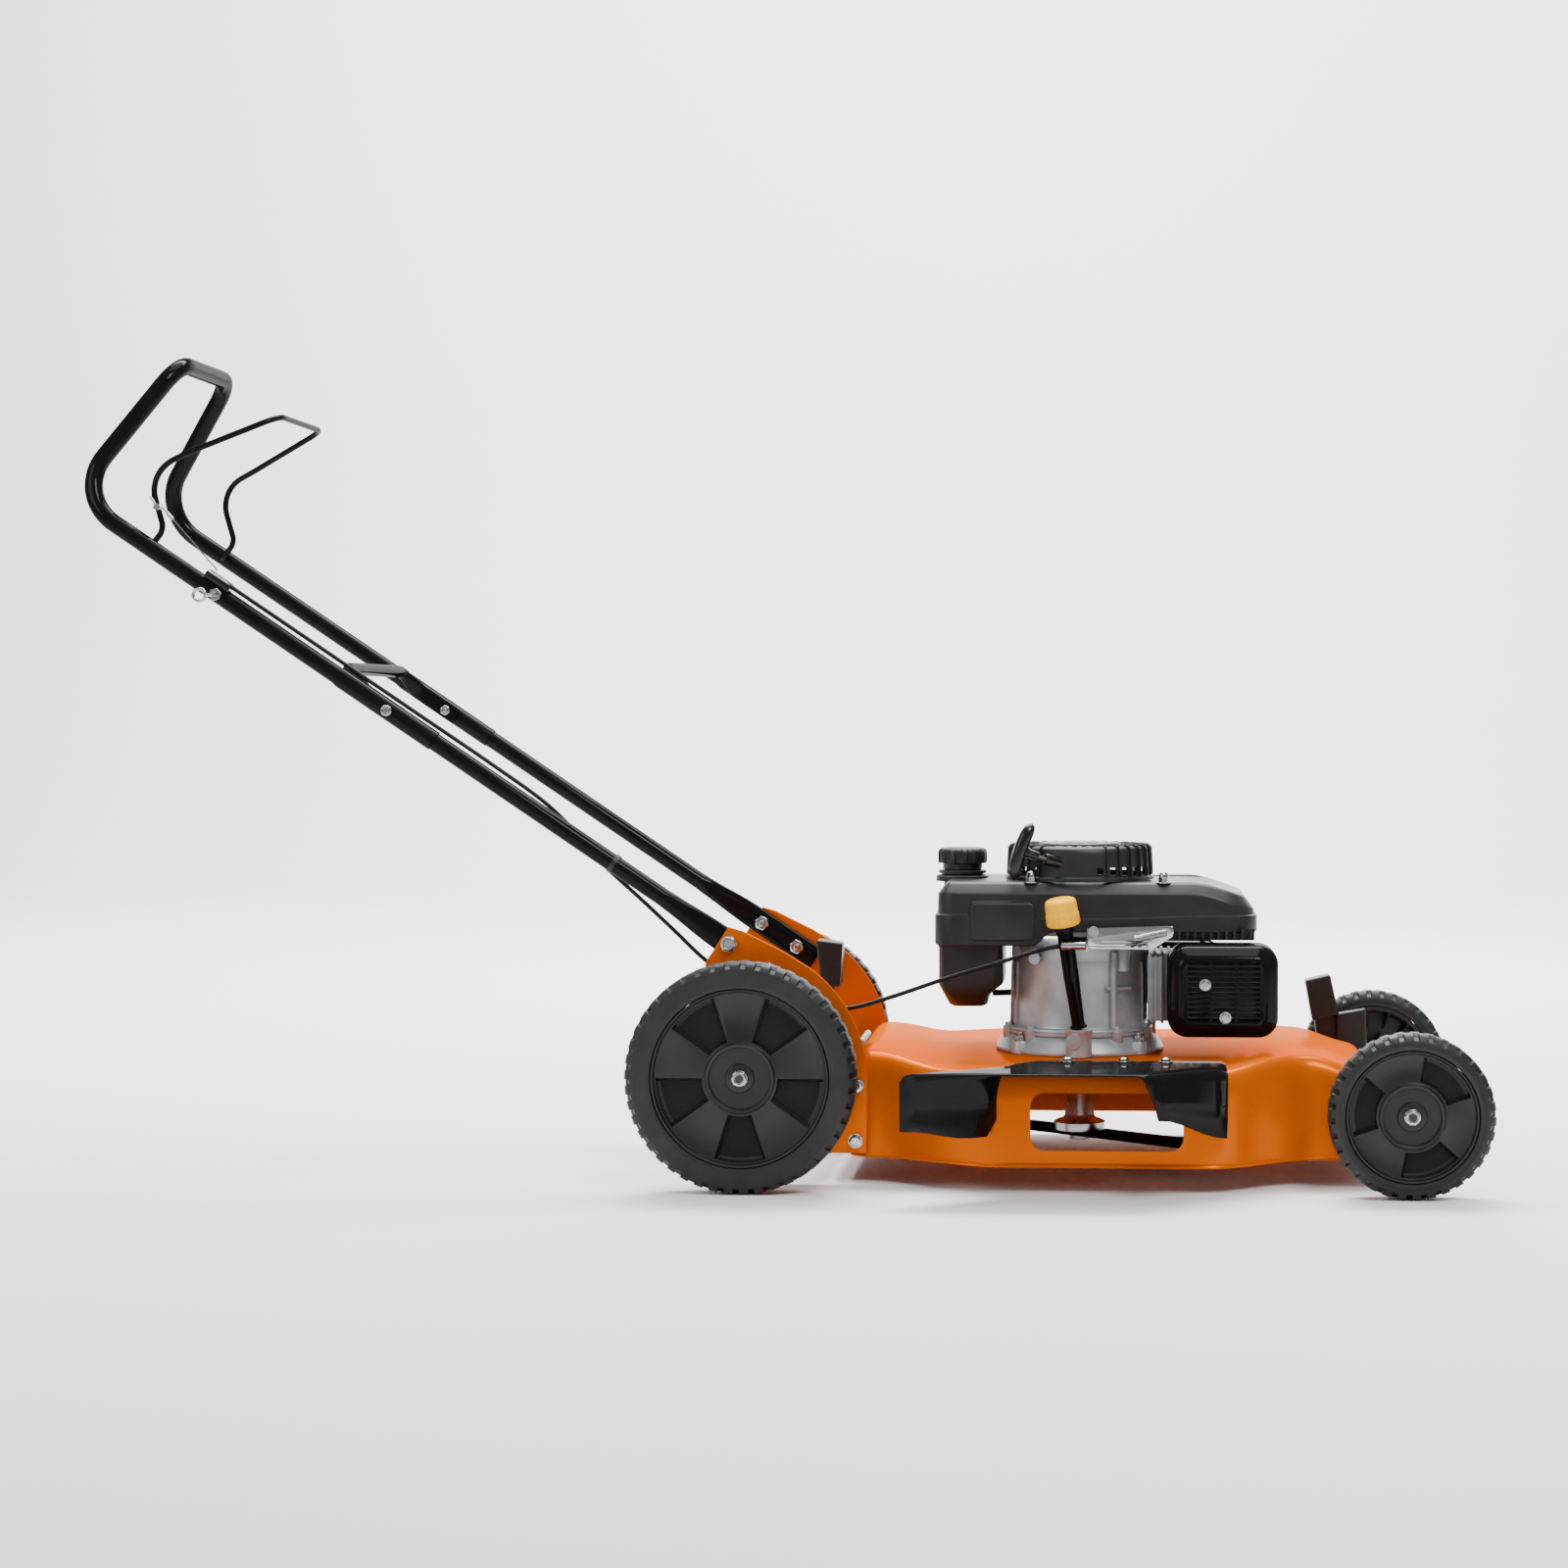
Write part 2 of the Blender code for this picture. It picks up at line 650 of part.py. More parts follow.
def make_upper_handle(machine):
    """One bent tube: two sleeves, two straight legs, the heels, the risers and the grip bar."""
    end, start = SLEEVE_X[1], SLEEVE_X[0]
    half = [
        (end, TUBE_Y, handle_z(end)),
        (start, TUBE_Y, handle_z(start)),
        (start - 0.004, TUBE_Y, handle_z(start - 0.004)),
        HANDLE_HEEL,
        GRIP_BAR,
    ]
    corners = [mirrored(p, -1) for p in half] + [mirrored(p, 1) for p in half[::-1]]
    path = filleted(corners, [0.0, 0.0, 0.061, 0.045, 0.045, 0.061, 0.0, 0.0], 6)
    path = [p for i, p in enumerate(path) if i == 0 or (p - path[i - 1]).length > 1e-6]
    radii = [SLEEVE_R if abs(p.x - end) < 0.115 else TUBE_R for p in path]
    mesh = pipe_along(path, radii, 0.0022, 10)
    handle = add("upper_handle", mesh, "black_enamel", machine)
    holes = []
    for side in (-1, 1):
        x, z = BAIL_PIVOT_X, handle_z(BAIL_PIVOT_X)
        holes.append(rod((x, side * 0.148, z), (x, side * 0.166, z), BAIL_R + 0.0004, 10))
        x, z = BRACE_BOLT_X, handle_z(BRACE_BOLT_X)
        holes.append(rod((x, side * 0.148, z), (x, side * 0.190, z), 0.0034, 10))
    x, z = ROPE_GUIDE_X, handle_z(ROPE_GUIDE_X)
    holes.append(rod((x, -0.190, z), (x, -0.148, z), 0.0034, 10))
    cut(handle, *holes)


def make_cross_brace(machine):
    """A flattened tube bent to a U, bolted between the two sleeves."""
    y = 0.1520
    half = [(-0.4620, y, handle_z(-0.4620)), (-0.5100, y, handle_z(-0.5100)), (-0.5330, y - 0.012, 0.6200)]
    corners = [mirrored(p, -1) for p in half] + [mirrored(p, 1) for p in half[::-1]]
    path = filleted(corners, [0.03, 0.016, 0.016, 0.03], 4)
    flat = [0.0020 if abs(p.y) > y - 0.0065 else None for p in path]
    radii = [0.0105 if f else 0.0080 for f in flat]
    brace = add("cross_brace", rings_mesh(sections(path, radii, 8, flat)), "black_enamel", machine)
    x, z = BRACE_BOLT_X, handle_z(BRACE_BOLT_X)
    cut(brace, rod((x, -0.18, z), (x, 0.18, z), 0.0034, 10))


def bolt(name, place, inward, head, nut_at, length, material, machine, hex_r=0.0085, shank_r=0.0044):
    """A bolt along Y: a hexagon head outside at place, a shank, and a nut nut_at along it."""
    profile = [
        (hex_r, -head),
        (hex_r, 0.0),
        (shank_r, 0.0),
        (shank_r, nut_at),
        (hex_r, nut_at),
        (hex_r, nut_at + 0.0055),
        (shank_r, nut_at + 0.0055),
        (shank_r, length),
    ]
    add(name, solid_turned(profile, place, (0, inward, 0), 12), material, machine)


def make_handle_fasteners(machine):
    for side, hand in ((-1, "right"), (1, "left")):
        for x, level in zip(HANDLE_BOLT_X, ("rear", "front")):
            start = (x, side * (PLATE_Y + PLATE_T + GAP), handle_z(x))
            name = f"handle_bolt_{hand}_{level}"
            bolt(name, start, -side, 0.0075, 0.0126, 0.0200, "zinc_steel", machine)
        start = (BRACE_BOLT_X, side * (TUBE_Y + SLEEVE_R + GAP), handle_z(BRACE_BOLT_X))
        name = f"brace_bolt_{hand}"
        bolt(name, start, -side, 0.0040, 0.0312, 0.0380, "zinc_steel", machine, 0.0070, 0.0030)


def make_rope_guide(machine):
    """Eye bolt through the right tube that the starter rope can be hooked to, with its nut."""
    x, z = ROPE_GUIDE_X, handle_z(ROPE_GUIDE_X)
    y = -(TUBE_Y + TUBE_R + GAP)
    profile = [(0.0085, 0.0), (0.0085, 0.0060), (0.0030, 0.0060), (0.0030, 0.0130)]
    guide = add("rope_guide", solid_turned(profile, (x, y, z), (0, -1, 0), 12), "zinc_steel", machine)
    eye = [(x - 0.0105, y - 0.0110, z - 0.0010), (x, y - 0.0110, z)]
    ring = [Vector((x - 0.0175 + 0.0075 * math.cos(a), y - 0.0110, z - 0.0010 + 0.0075 * math.sin(a)))
            for a in [math.tau * i / 12 for i in range(12)]]
    join(
        guide,
        rod((x, y - 0.001, z), (x, -0.1530, z), 0.0030, 10),
        rod(eye[1], eye[0], 0.0022, 8),
        rings_mesh(eye_rings(ring, 0.0021), closed=True),
    )


def eye_rings(loop, radius, sides=6):
    """Rings round a closed loop that lies in a plane square to Y."""
    rings = []
    centre = sum(loop, Vector()) / len(loop)
    for point in loop:
        out = (point - centre).normalized()
        turns = [math.tau * i / sides for i in range(sides)]
        rings.append([point + out * (radius * math.cos(t)) + Vector((0, radius * math.sin(t), 0)) for t in turns])
    return rings


def bail_path():
    half = [
        (BAIL_PIVOT_X, 0.1640, handle_z(BAIL_PIVOT_X)),
        (BAIL_PIVOT_X, BAIL_Y, handle_z(BAIL_PIVOT_X)),
        (-0.7570, BAIL_Y, 0.7905),
        (-0.7765, BAIL_Y, 0.8600),
        (-0.7300, 0.1460, 0.8840),
        (-0.6270, 0.1000, 0.9330),
    ]
    corners = [mirrored(p, -1) for p in half] + [mirrored(p, 1) for p in half[::-1]]
    radii = [0.005, 0.012, 0.022, 0.06, 0.022]
    return filleted(corners, radii + radii[::-1], 5)


def make_bail(machine):
    """Operator-presence bail: a bent rod that turns in the two handle tubes."""
    pivot = empty("bail_axis", (BAIL_PIVOT_X, 0, handle_z(BAIL_PIVOT_X)), machine)
    add("brake_bail", bar_along(bail_path(), BAIL_R, 8), "black_enamel", pivot)


# ---------------------------------------------------------------- engine


def make_crankcase(machine):
    base = (CRANK_X, 0, 0)
    bottom = DECK_TOP + GAP
    profile = [
        (0.0180, bottom),
        (FLANGE_R, bottom),
        (FLANGE_R, bottom + 0.0075),
        (0.0930, bottom + 0.0120),
        (0.0890, 0.1660),
        (0.0910, 0.1670),
        (0.0910, 0.1745),
        (CASE_R, 0.1755),
        (CASE_R - 0.001, CASE_TOP),
        (0.0180, CASE_TOP),
    ]
    case = add("crankcase", ring_turned(profile[::-1], base, (0, 0, 1), 40), "cast_aluminium", machine)
    foot, top = OIL_FOOT, OIL_FOOT.z - GAP
    boss = rod((foot.x, foot.y, bottom + 0.001), (foot.x, foot.y, top), 0.0155, 16)
    join(case, boss)
    along = (OIL_TOP - OIL_FOOT).normalized()
    cut(case, rod(foot - along * 0.025, foot + along * 0.01, 0.0040, 10))


def make_cylinder(machine):
    """Finned barrel and head in one casting pointing forward, its rocker cover and its plug."""
    start, pitch, count = 0.4505, 0.0095, 8
    deep, shallow = 0.0560, 0.0440
    outline = [(start, -shallow)]
    for i in range(count):
        x = start + pitch * i
        outline += [(x + 0.004, -shallow), (x + 0.004, -deep), (x + 0.0075, -deep), (x + 0.0075, -shallow)]
    outline.append((start + pitch * count, -shallow))
    outline += [(x, -y) for x, y in outline[::-1]]
    block = add("cylinder_block", prism(outline, 0.1800, 0.2700), "cast_aluminium", machine)
    face = start + pitch * count
    join(block, box((face - 0.001, -0.052, 0.1780), (face + 0.018, 0.052, 0.2720)))
    cover = rounded((-0.040, 0.1850), (0.040, 0.2650), 0.014, 3)
    x = face + 0.018 + GAP
    steps = ((0, 1), (0.014, 1), (0.019, 0.9))
    rings = [[(x + d, y * k, 0.225 + (z - 0.225) * k) for y, z in cover] for d, k in steps]
    add("rocker_cover", rings_mesh(rings), "black_enamel", machine)
    plug = [(0.0085, 0.0), (0.0085, 0.008), (0.0050, 0.010), (0.0050, 0.020), (0.0095, 0.022), (0.0095, 0.044)]
    base = (face + 0.009, 0.052 + GAP, 0.2250)
    add("spark_plug", solid_turned(plug, base, (0, 1, 0), 12), "black_plastic", machine)


def make_intake(machine):
    """Carburettor and air cleaner on the left of the barrel."""
    body = prism(rounded((0.4650, 0.0565), (0.5050, 0.1060), 0.008, 2), 0.2020, 0.2450)
    add("carburettor", body, "cast_aluminium", machine)
    shell = rings_mesh(
        [
            [(x, y, z) for x, z in rounded((0.4300 - d, 0.1900 - d), (0.5400 + d, 0.2700 + d), 0.016, 3)]
            for y, d in ((0.1066, 0.0), (0.1420, 0.0), (0.1520, -0.006))
        ]
    )
    add("air_cleaner", shell, "black_plastic", machine)


def guard_block(front, wall, back):
    """A rounded block with a tapered face, set in from the guard's outside by a wall."""
    rings = []
    for y, taper in ((back, 0.0), (front + 0.0150, 0.0), (front, 0.0135)):
        inset = wall + taper
        low = (0.4700 + inset, 0.1715 + inset)
        high = (0.6045 - inset, 0.2845 - inset)
        edge = rounded(low, high, 0.024 - inset * 0.6, 3)
        rings.append([(x, y, z) for x, z in edge])
    return rings_mesh(rings)


def make_exhaust(machine):
    body = slab(rounded((0.4860, 0.1850), (0.5880, 0.2700), 0.018, 3), -0.1290, -0.0850)
    muffler = add("muffler", body, "dark_steel", machine)
    join(muffler, rod((0.5000, -0.0864, 0.2250), (0.5000, -0.0565, 0.2250), 0.0110, 12))
    guard = add("muffler_guard", guard_block(GUARD_FRONT, 0.0, -0.0830), "black_enamel", machine)
    cut(guard, guard_block(GUARD_FRONT + GUARD_WALL, GUARD_WALL, -0.0800))
    slots = []
    for row in range(5):
        z = 0.1945 + 0.0160 * row
        for x in (0.4960, 0.5420):
            slots.append(box((x, -0.150, z), (x + 0.0370, -0.135, z + 0.0055)))
    cut(guard, *slots)


def cowl_outline(inset):
    """Plan of the blower housing: square behind, round over the flywheel, tapering to the front."""
    rear, front = 0.1840 + inset, 0.5815 - inset
    right, left = -0.0980 + inset, 0.1180 - inset
    corner = 0.026 - inset * 0.5
    points = []
    for cx, cy, start, r in (
        (front - corner * 1.8, left - corner * 1.8, 0, corner * 1.8),
        (rear + corner, left - corner, 90, corner),
        (rear + corner, right + corner, 180, corner),
        (front - corner * 1.6, right + corner * 1.6, 270, corner * 1.6),
    ):
        for i in range(6):
            a = math.radians(start + 18 * i)
            points.append((cx + r * math.cos(a), cy + r * math.sin(a)))
    return points


def cowl_bottom(x):
    return 0.2800 + 0.0170 * smooth_step(x, 0.305, 0.330)


def cowl_top(x):
    return COWL_TOP - 0.0200 * smooth_step(x, 0.500, 0.590)


def make_blower_housing(machine):
    """Thin shell over the flywheel and the fuel tank, open below and over the fan."""
    outer = [
        [(x, y, cowl_bottom(x)) for x, y in cowl_outline(0.0)],
        [(x, y, cowl_top(x) - 0.016) for x, y in cowl_outline(0.002)],
        [(x, y, cowl_top(x) - 0.005) for x, y in cowl_outline(0.006)],
        [(x, y, cowl_top(x)) for x, y in cowl_outline(0.015)],
    ]
    wall = 0.0022
    inner = [
        [(x, y, cowl_top(x) - wall) for x, y in cowl_outline(0.015 + wall)],
        [(x, y, cowl_top(x) - 0.016) for x, y in cowl_outline(0.002 + wall)],
        [(x, y, cowl_bottom(x)) for x, y in cowl_outline(wall)],
    ]
    bm = bmesh.new()
    rows = [[bm.verts.new(p) for p in ring] for ring in outer + inner]
    count = len(rows[0])
    for a, b in ((0, 1), (1, 2), (2, 3), (4, 5), (5, 6), (6, 0)):
        low, high = rows[a], rows[b]
        for i in range(count):
            j = (i + 1) % count
            bm.faces.new((low[i], low[j], high[j], high[i]))
    for row in (rows[3], rows[4]):
        bmesh.ops.triangulate(bm, faces=[bm.faces.new(row)])
    housing = add("blower_housing", mesh_of(bm), "black_plastic", machine)
    intake = rod((CRANK_X, 0, 0.33), (CRANK_X, 0, 0.38), 0.0700, 24)
    neck = rod((*TANK_NECK, 0.33), (*TANK_NECK, 0.38), 0.0255, 16)
    cut(housing, intake, neck)


def make_recoil(machine):
    """Starter cover standing on the blower housing, with its pulley, rope and handle."""
    base = (CRANK_X, 0, 0)
    foot, top, wall = COWL_TOP + GAP, 0.4030, 0.0025
    profile = [
        (0.0, top),
        (RECOIL_R - 0.014, top),
        (RECOIL_R - 0.003, top - 0.006),
        (RECOIL_R, foot),
        (RECOIL_R - wall, foot),
        (RECOIL_R - 0.003 - wall, top - 0.006 - wall),
        (0.012, top - wall - 0.001),
        (0.0080, top - wall - 0.003),
        (0.0080, 0.3640),
        (0.0, 0.3640),
    ]
    cover = add("recoil_cover", capped_turned(profile, base, 36), "black_plastic", machine)
    root = ROPE_EYE - PULL_LINE * 0.0300 + Vector((0, 0.0200, 0))
    join(cover, rod(root, ROPE_EYE, 0.0070, 12))
    vents = [box((x, -0.12, 0.3660), (x + 0.0060, 0.12, 0.3940)) for x in (0.3900, 0.4150)]
    cut(cover, rod(ROPE_EYE - PULL_LINE * 0.0120, ROPE_EYE + PULL_LINE * 0.0100, 0.0033, 10), *vents)
    pulley = empty("recoil_axis", (CRANK_X, 0, 0.38), machine)
    groove = [
        (0.0084, 0.3680),
        (0.0360, 0.3680),
        (0.0360, 0.3705),
        (0.0300, 0.3725),
        (0.0300, 0.3805),
        (0.0360, 0.3825),
        (0.0360, 0.3850),
        (0.0084, 0.3850),
    ]
    add("recoil_pulley", ring_turned(groove[::-1], base, (0, 0, 1), 24), "black_plastic", pulley)
    start = ROPE_EYE - PULL_LINE * 0.0080
    stop = ROPE_EYE + PULL_LINE * 0.0075
    add("starter_rope", rod(start, stop, 0.0024, 8), "rope_fibre", machine)
    pull = empty("starter_axis", stop, machine)
    make_starter_grip(stop + PULL_LINE * GAP, pull)


def capped_turned(profile, base, sides):
    """A turned piece whose profile begins and ends on its axis."""
    bm = bmesh.new()
    points = turned(profile[1:-1], base, (0, 0, 1), sides)
    rows = [[bm.verts.new(p) for p in ring] for ring in points]
    for low, high in zip(rows, rows[1:]):
        for i in range(sides):
            j = (i + 1) % sides
            bm.faces.new((low[i], low[j], high[j], high[i]))
    bm.faces.new(rows[0])
    bm.faces.new(rows[-1])
    return mesh_of(bm)


def make_starter_grip(start, pivot):
    """A T-handle: a neck along the rope and a bar across it."""
    neck = rod(start, start + PULL_LINE * 0.020, 0.0055, 10)
    grip = add("starter_grip", neck, "black_plastic", pivot)
    across = Vector((-PULL_LINE.z, 0, PULL_LINE.x))
    centre = start + PULL_LINE * 0.0240
    path = [centre + across * (0.037 * t) + PULL_LINE * (-0.004 * t * t) for t in (-1, -0.85, -0.4, 0, 0.4, 0.85, 1)]
    wide = [0.0065, 0.0105, 0.0125, 0.0130, 0.0125, 0.0105, 0.0065]
    rings = []
    for point, half in zip(path, wide):
        ring = []
        for k in range(10):
            a = math.tau * (k + 0.5) / 10
            ring.append(point + Vector((0, 1, 0)) * (half * math.cos(a)) + PULL_LINE * (0.0085 * math.sin(a)))
        rings.append(ring)
    join(grip, rings_mesh(rings))


def make_fuel(machine):
    """Hollow tank behind the crankcase, its neck through the housing, the cap and the fuel line."""
    x, y = TANK_NECK
    low = [(px, py, 0.2015) for px, py in rounded((0.2010, -0.0600), (0.2480, 0.0700), 0.012, 2)]
    step = [(px, py, 0.2150) for px, py in rounded((0.1960, -0.0720), (0.2500, 0.0800), 0.012, 2)]
    wide = [(px, py, 0.2290) for px, py in rounded((0.1885, -0.0780), (0.2675, 0.0860), 0.014, 2)]
    high = [(px, py, 0.3120) for px, py in rounded((0.1885, -0.0780), (0.2675, 0.0860), 0.014, 2)]
    tank = add("fuel_tank", rings_mesh([low, step, wide, high]), "black_plastic", machine)
    join(tank, rod((x, y, 0.3100), (x, y, 0.3690), 0.0235, 16))
    inside = prism(rounded((0.1920, -0.0740), (0.2640, 0.0820), 0.012, 2), 0.2320, 0.3090)
    cut(tank, inside, rod((x, y, 0.3000), (x, y, 0.3800), 0.0200, 16))
    turn = empty("fuel_cap_axis", (x, y, 0.38), machine)
    lobes = []
    for i in range(48):
        a = math.tau * i / 48
        lobes.append((x + (0.0300 + 0.0010 * math.copysign(1, math.sin(8 * a + 0.01))) * math.cos(a),
                      y + (0.0300 + 0.0010 * math.copysign(1, math.sin(8 * a + 0.01))) * math.sin(a)))
    rings = [
        [(px, py, 0.3765) for px, py in lobes],
        [(px, py, 0.3930) for px, py in lobes],
        [(x + (px - x) * 0.9, y + (py - y) * 0.9, 0.3965) for px, py in lobes],
    ]
    cap = add("fuel_cap", rings_mesh(rings), "black_plastic", turn)
    join(cap, solid_turned([(0.0250, 0.3694), (0.0250, 0.3780)], (x, y, 0), sides=16),
         rod((x, y, 0.3500), (x, y, 0.3710), 0.0190, 16))
    plan = [(0.2512, 0.0500), (0.2700, 0.0560), (0.3000, 0.0850)]
    plan += [(0.3625, 0.1000), (0.4200, 0.0950), (0.4632, 0.0850)]
    line = smooth_route([Vector((px, py, 0.2085)) for px, py in plan], 0.020)
    add("fuel_line", bar_along(line, 0.0040, 8), "cable_jacket", machine)


def make_oil_filler(machine):
    """Tube up from the crankcase's boss and the dipstick whose yellow cap closes it."""
    along = (OIL_TOP - OIL_FOOT).normalized()
    length = (OIL_TOP - OIL_FOOT).length
    wall = [(0.0055, 0.0), (0.0068, 0.0), (OIL_TUBE_R, length * 0.45), (OIL_TUBE_R, length), (0.0055, length)]
    start = OIL_FOOT + along * 0.0012
    tube = ring_turned([(r, d * 0.99) for r, d in wall][::-1], start, along, 16)
    add("oil_filler_tube", tube, "black_enamel", machine)
    pull = empty("dipstick_axis", OIL_TOP, machine)
    base = start + along * (length * 0.99 + GAP)
    profile = [
        (0.0180, 0.0),
        (0.0205, 0.0040),
        (0.0205, 0.0230),
        (0.0185, 0.0300),
        (0.0120, 0.0335),
    ]
    stick = add("oil_dipstick", solid_turned(profile, base, along, 20), "yellow_plastic", pull)
    join(stick, rod(base - along * 0.1150, base + along * 0.004, 0.0022, 8))


def make_rotor(machine):
    """Everything on the crankshaft: flywheel and fan above, adapter, blade and its bolt below."""
    spin = empty("crankshaft_axis", (CRANK_X, 0, 0), machine)
    base = (CRANK_X, 0, 0)
    shaft = [(SHAFT_R, 0.0563), (SHAFT_R, 0.2800), (0.0105, 0.2860)]
    shaft += [(0.0105, 0.3290), (0.0060, 0.3290), (0.0060, 0.3440)]
    crank = add("crankshaft", solid_turned(shaft, base, sides=16), "dark_steel", spin)
    cut(crank, rod((CRANK_X, 0, 0.05), (CRANK_X, 0, 0.0960), 0.0058, 10))
    teeth = []
    for i in range(18):
        for share, radius in ((0.0, 0.0640), (0.15, 0.0790), (0.45, 0.0790), (0.6, 0.0640)):
            a = math.tau * (i + share) / 18
            teeth.append((CRANK_X + radius * math.cos(a), radius * math.sin(a)))
    disc = solid_turned([(0.0800, 0.2900), (0.0800, 0.3060)], base, sides=36)
    wheel = add("flywheel", disc, "cast_aluminium", spin)
    join(wheel, prism(teeth, 0.3050, 0.3240))
    cut(wheel, rod((CRANK_X, 0, 0.28), (CRANK_X, 0, 0.33), 0.0108, 16))
    foot = BLADE_BOTTOM + BLADE_T + GAP
    adapter = [
        (0.0060, foot),
        (0.0325, foot),
        (0.0325, foot + 0.0110),
        (0.0270, foot + 0.0135),
        (0.0185, foot + 0.0165),
        (0.0185, 0.1330),
        (SHAFT_R + GAP, 0.1330),
        (SHAFT_R + GAP, 0.0560),
        (0.0060, 0.0560),
    ]
    add("blade_adapter", ring_turned(adapter[::-1], base, (0, 0, 1), 24), "dark_steel", spin)
    head = BLADE_BOTTOM - GAP
    bolt_profile = [(0.0125, head - 0.0080), (0.0125, head), (0.0054, head), (0.0054, 0.0940)]
    add("blade_bolt", solid_turned(bolt_profile, base, sides=12), "zinc_steel", spin)
    make_blade(spin)


def make_blade(pivot):
    """Flat bar with its trailing edges lifted towards both tips."""
    half = BLADE_LENGTH / 2
    rings = []
    for share in (-1.0, -0.93, -0.8, -0.66, -0.5, 0.0, 0.5, 0.66, 0.8, 0.93, 1.0):
        lift = 0.0130 * smooth_step(abs(share), 0.55, 0.90)
        width = BLADE_WIDTH / 2 * (1.0 - 0.12 * smooth_step(abs(share), 0.9, 1.0))
        hand = 1 if share > 0 else -1
        section = [(-width, 0.0), (-0.30 * width, 0.0), (0.5 * width, 0.0), (width, 0.0)]
        bottom = []
        for across, _ in section:
            trail = across * hand
            rise = lift * smooth_step(trail, 0.0, width)
            bottom.append((across, rise))
        loop = [(a, z) for a, z in bottom] + [(a, z + BLADE_T) for a, z in bottom[::-1]]
        turn = Matrix.Rotation(BLADE_TURN, 3, "Z")
        foot = Vector((CRANK_X, 0, BLADE_BOTTOM))
        rings.append([foot + Vector((0, 0, z)) + turn @ Vector((share * half, a, 0)) for a, z in loop])
    blade = add("mower_blade", rings_mesh(rings), "dark_steel", pivot)
    cut(blade, rod((CRANK_X, 0, 0.02), (CRANK_X, 0, 0.06), 0.0060, 12))


# ---------------------------------------------------------------- engine brake and its cable


def make_brake(machine):
    """Bracket on the crankcase, and the lever whose pad stops the flywheel until the cable pulls."""
    y = -0.1060
    outline = [(0.3720, 0.2770), (0.4520, 0.2770), (0.4770, 0.2930), (0.4770, 0.3060), (0.3720, 0.3030)]
    bracket = add("brake_bracket", slab(outline, y, y + 0.0018), "zinc_steel", machine)
    low = CASE_TOP + GAP
    px, py = BRAKE_PIVOT
    shelf = box((0.3900, y + 0.0008, low), (0.4450, -0.0700, low + 0.0016))
    ear = box((0.3715, CABLE_Y - 0.0080, CABLE_Z - 0.0065), (0.3735, y + 0.0010, CABLE_Z + 0.0065))
    hook = box((0.4745, CABLE_Y - 0.0030, 0.2985), (0.4770, y + 0.0010, 0.3045))
    stud = [(0.0028, low + 0.0006), (0.0028, 0.2856), (0.0050, 0.2856), (0.0050, 0.2872)]
    join(bracket, shelf, ear, hook, solid_turned(stud, (px, py, 0), sides=10))
    slot = box((0.3900, y - 0.01, 0.2800), (0.4450, y + 0.01, 0.2875))
    cut(bracket, slot, rod((0.36, CABLE_Y, CABLE_Z), (0.38, CABLE_Y, CABLE_Z), 0.0016, 8))
    pivot = empty("brake_lever_axis", (px, py, CABLE_Z), machine)
    arm = [
        (HOOK_X + 0.0030, CABLE_Y - 0.0040),
        (px + 0.0060, py - 0.0080),
        (px + 0.0075, py + 0.0020),
        (px - 0.0010, py + 0.0290),
        (px - 0.0110, py + 0.0340),
        (px - 0.0085, py + 0.0020),
        (px - 0.0080, py - 0.0080),
        (HOOK_X - 0.0035, CABLE_Y + 0.0090),
        (HOOK_X - 0.0035, CABLE_Y - 0.0040),
    ]
    lever = add("brake_lever", prism(arm, 0.2820, 0.2850), "zinc_steel", pivot)
    toward = math.radians(-39)
    pad = []
    for reach, along in ((0.0806, -0.0080), (0.0860, -0.0080), (0.0860, 0.0080), (0.0806, 0.0080)):
        x = CRANK_X + reach * math.cos(toward) - along * math.sin(toward)
        pad.append((x, reach * math.sin(toward) + along * math.cos(toward)))
    join(lever, prism(pad, 0.2830, 0.3040))
    cut(lever, rod((px, py, 0.28), (px, py, 0.29), 0.0032, 10))


def make_control_cable(machine):
    """Sheathed brake cable from the bail down the right tube, past the plate and across to the engine."""
    route = [Vector(on_tube(x, -1, turn, 0.0165)) for x, turn in CABLE_ON_TUBE]
    route += [Vector(p) for p in CABLE_FREE]
    points = smooth_route(route, 0.024)
    cable = add("control_cable", bar_along(points, 0.0027, 8), "cable_jacket", machine)
    start = (points[-1].x - 0.0020, CABLE_Y, CABLE_Z)
    reach = 0.3712 - start[0]
    ferrule = [(0.0050, 0.0), (0.0050, reach - 0.0004), (0.0030, reach)]
    join(cable, solid_turned(ferrule, start, (1, 0, 0), 12))
    seat = Vector(on_tube(CABLE_ON_TUBE[0][0], -1, CABLE_ON_TUBE[0][1], 0.0165))
    hook = Vector((-0.7593, -0.1500, 0.8180))
    reach = (hook - seat).normalized()
    add("cable_wire", rod(seat + reach * 0.0340, hook, 0.0009, 6), "zinc_steel", machine)
    make_cable_bracket(machine)


CABLE_ON_TUBE = [
    (-0.6760, 0),
    (-0.60, 4),
    (-0.52, 8),
    (-0.44, 8),
    (-0.36, 10),
    (-0.29, 40),
    (-0.235, 95),
    (-0.205, 130),
]
CABLE_FREE = [
    (-0.1700, -0.1480, 0.3390),
    (-0.1300, -0.1450, 0.3010),
    (-0.0910, -0.1430, 0.2640),
    (-0.0400, -0.1420, 0.2290),
    (0.0200, -0.1400, 0.2080),
    (0.0790, -0.1360, 0.2060),
    (0.1310, -0.1330, 0.2190),
    (0.2015, -0.1320, 0.2430),
    (0.2700, -0.1330, 0.2640),
    (0.3150, CABLE_Y, 0.2780),
    (0.3350, CABLE_Y, CABLE_Z - 0.0012),
    (0.3430, CABLE_Y, CABLE_Z),
]


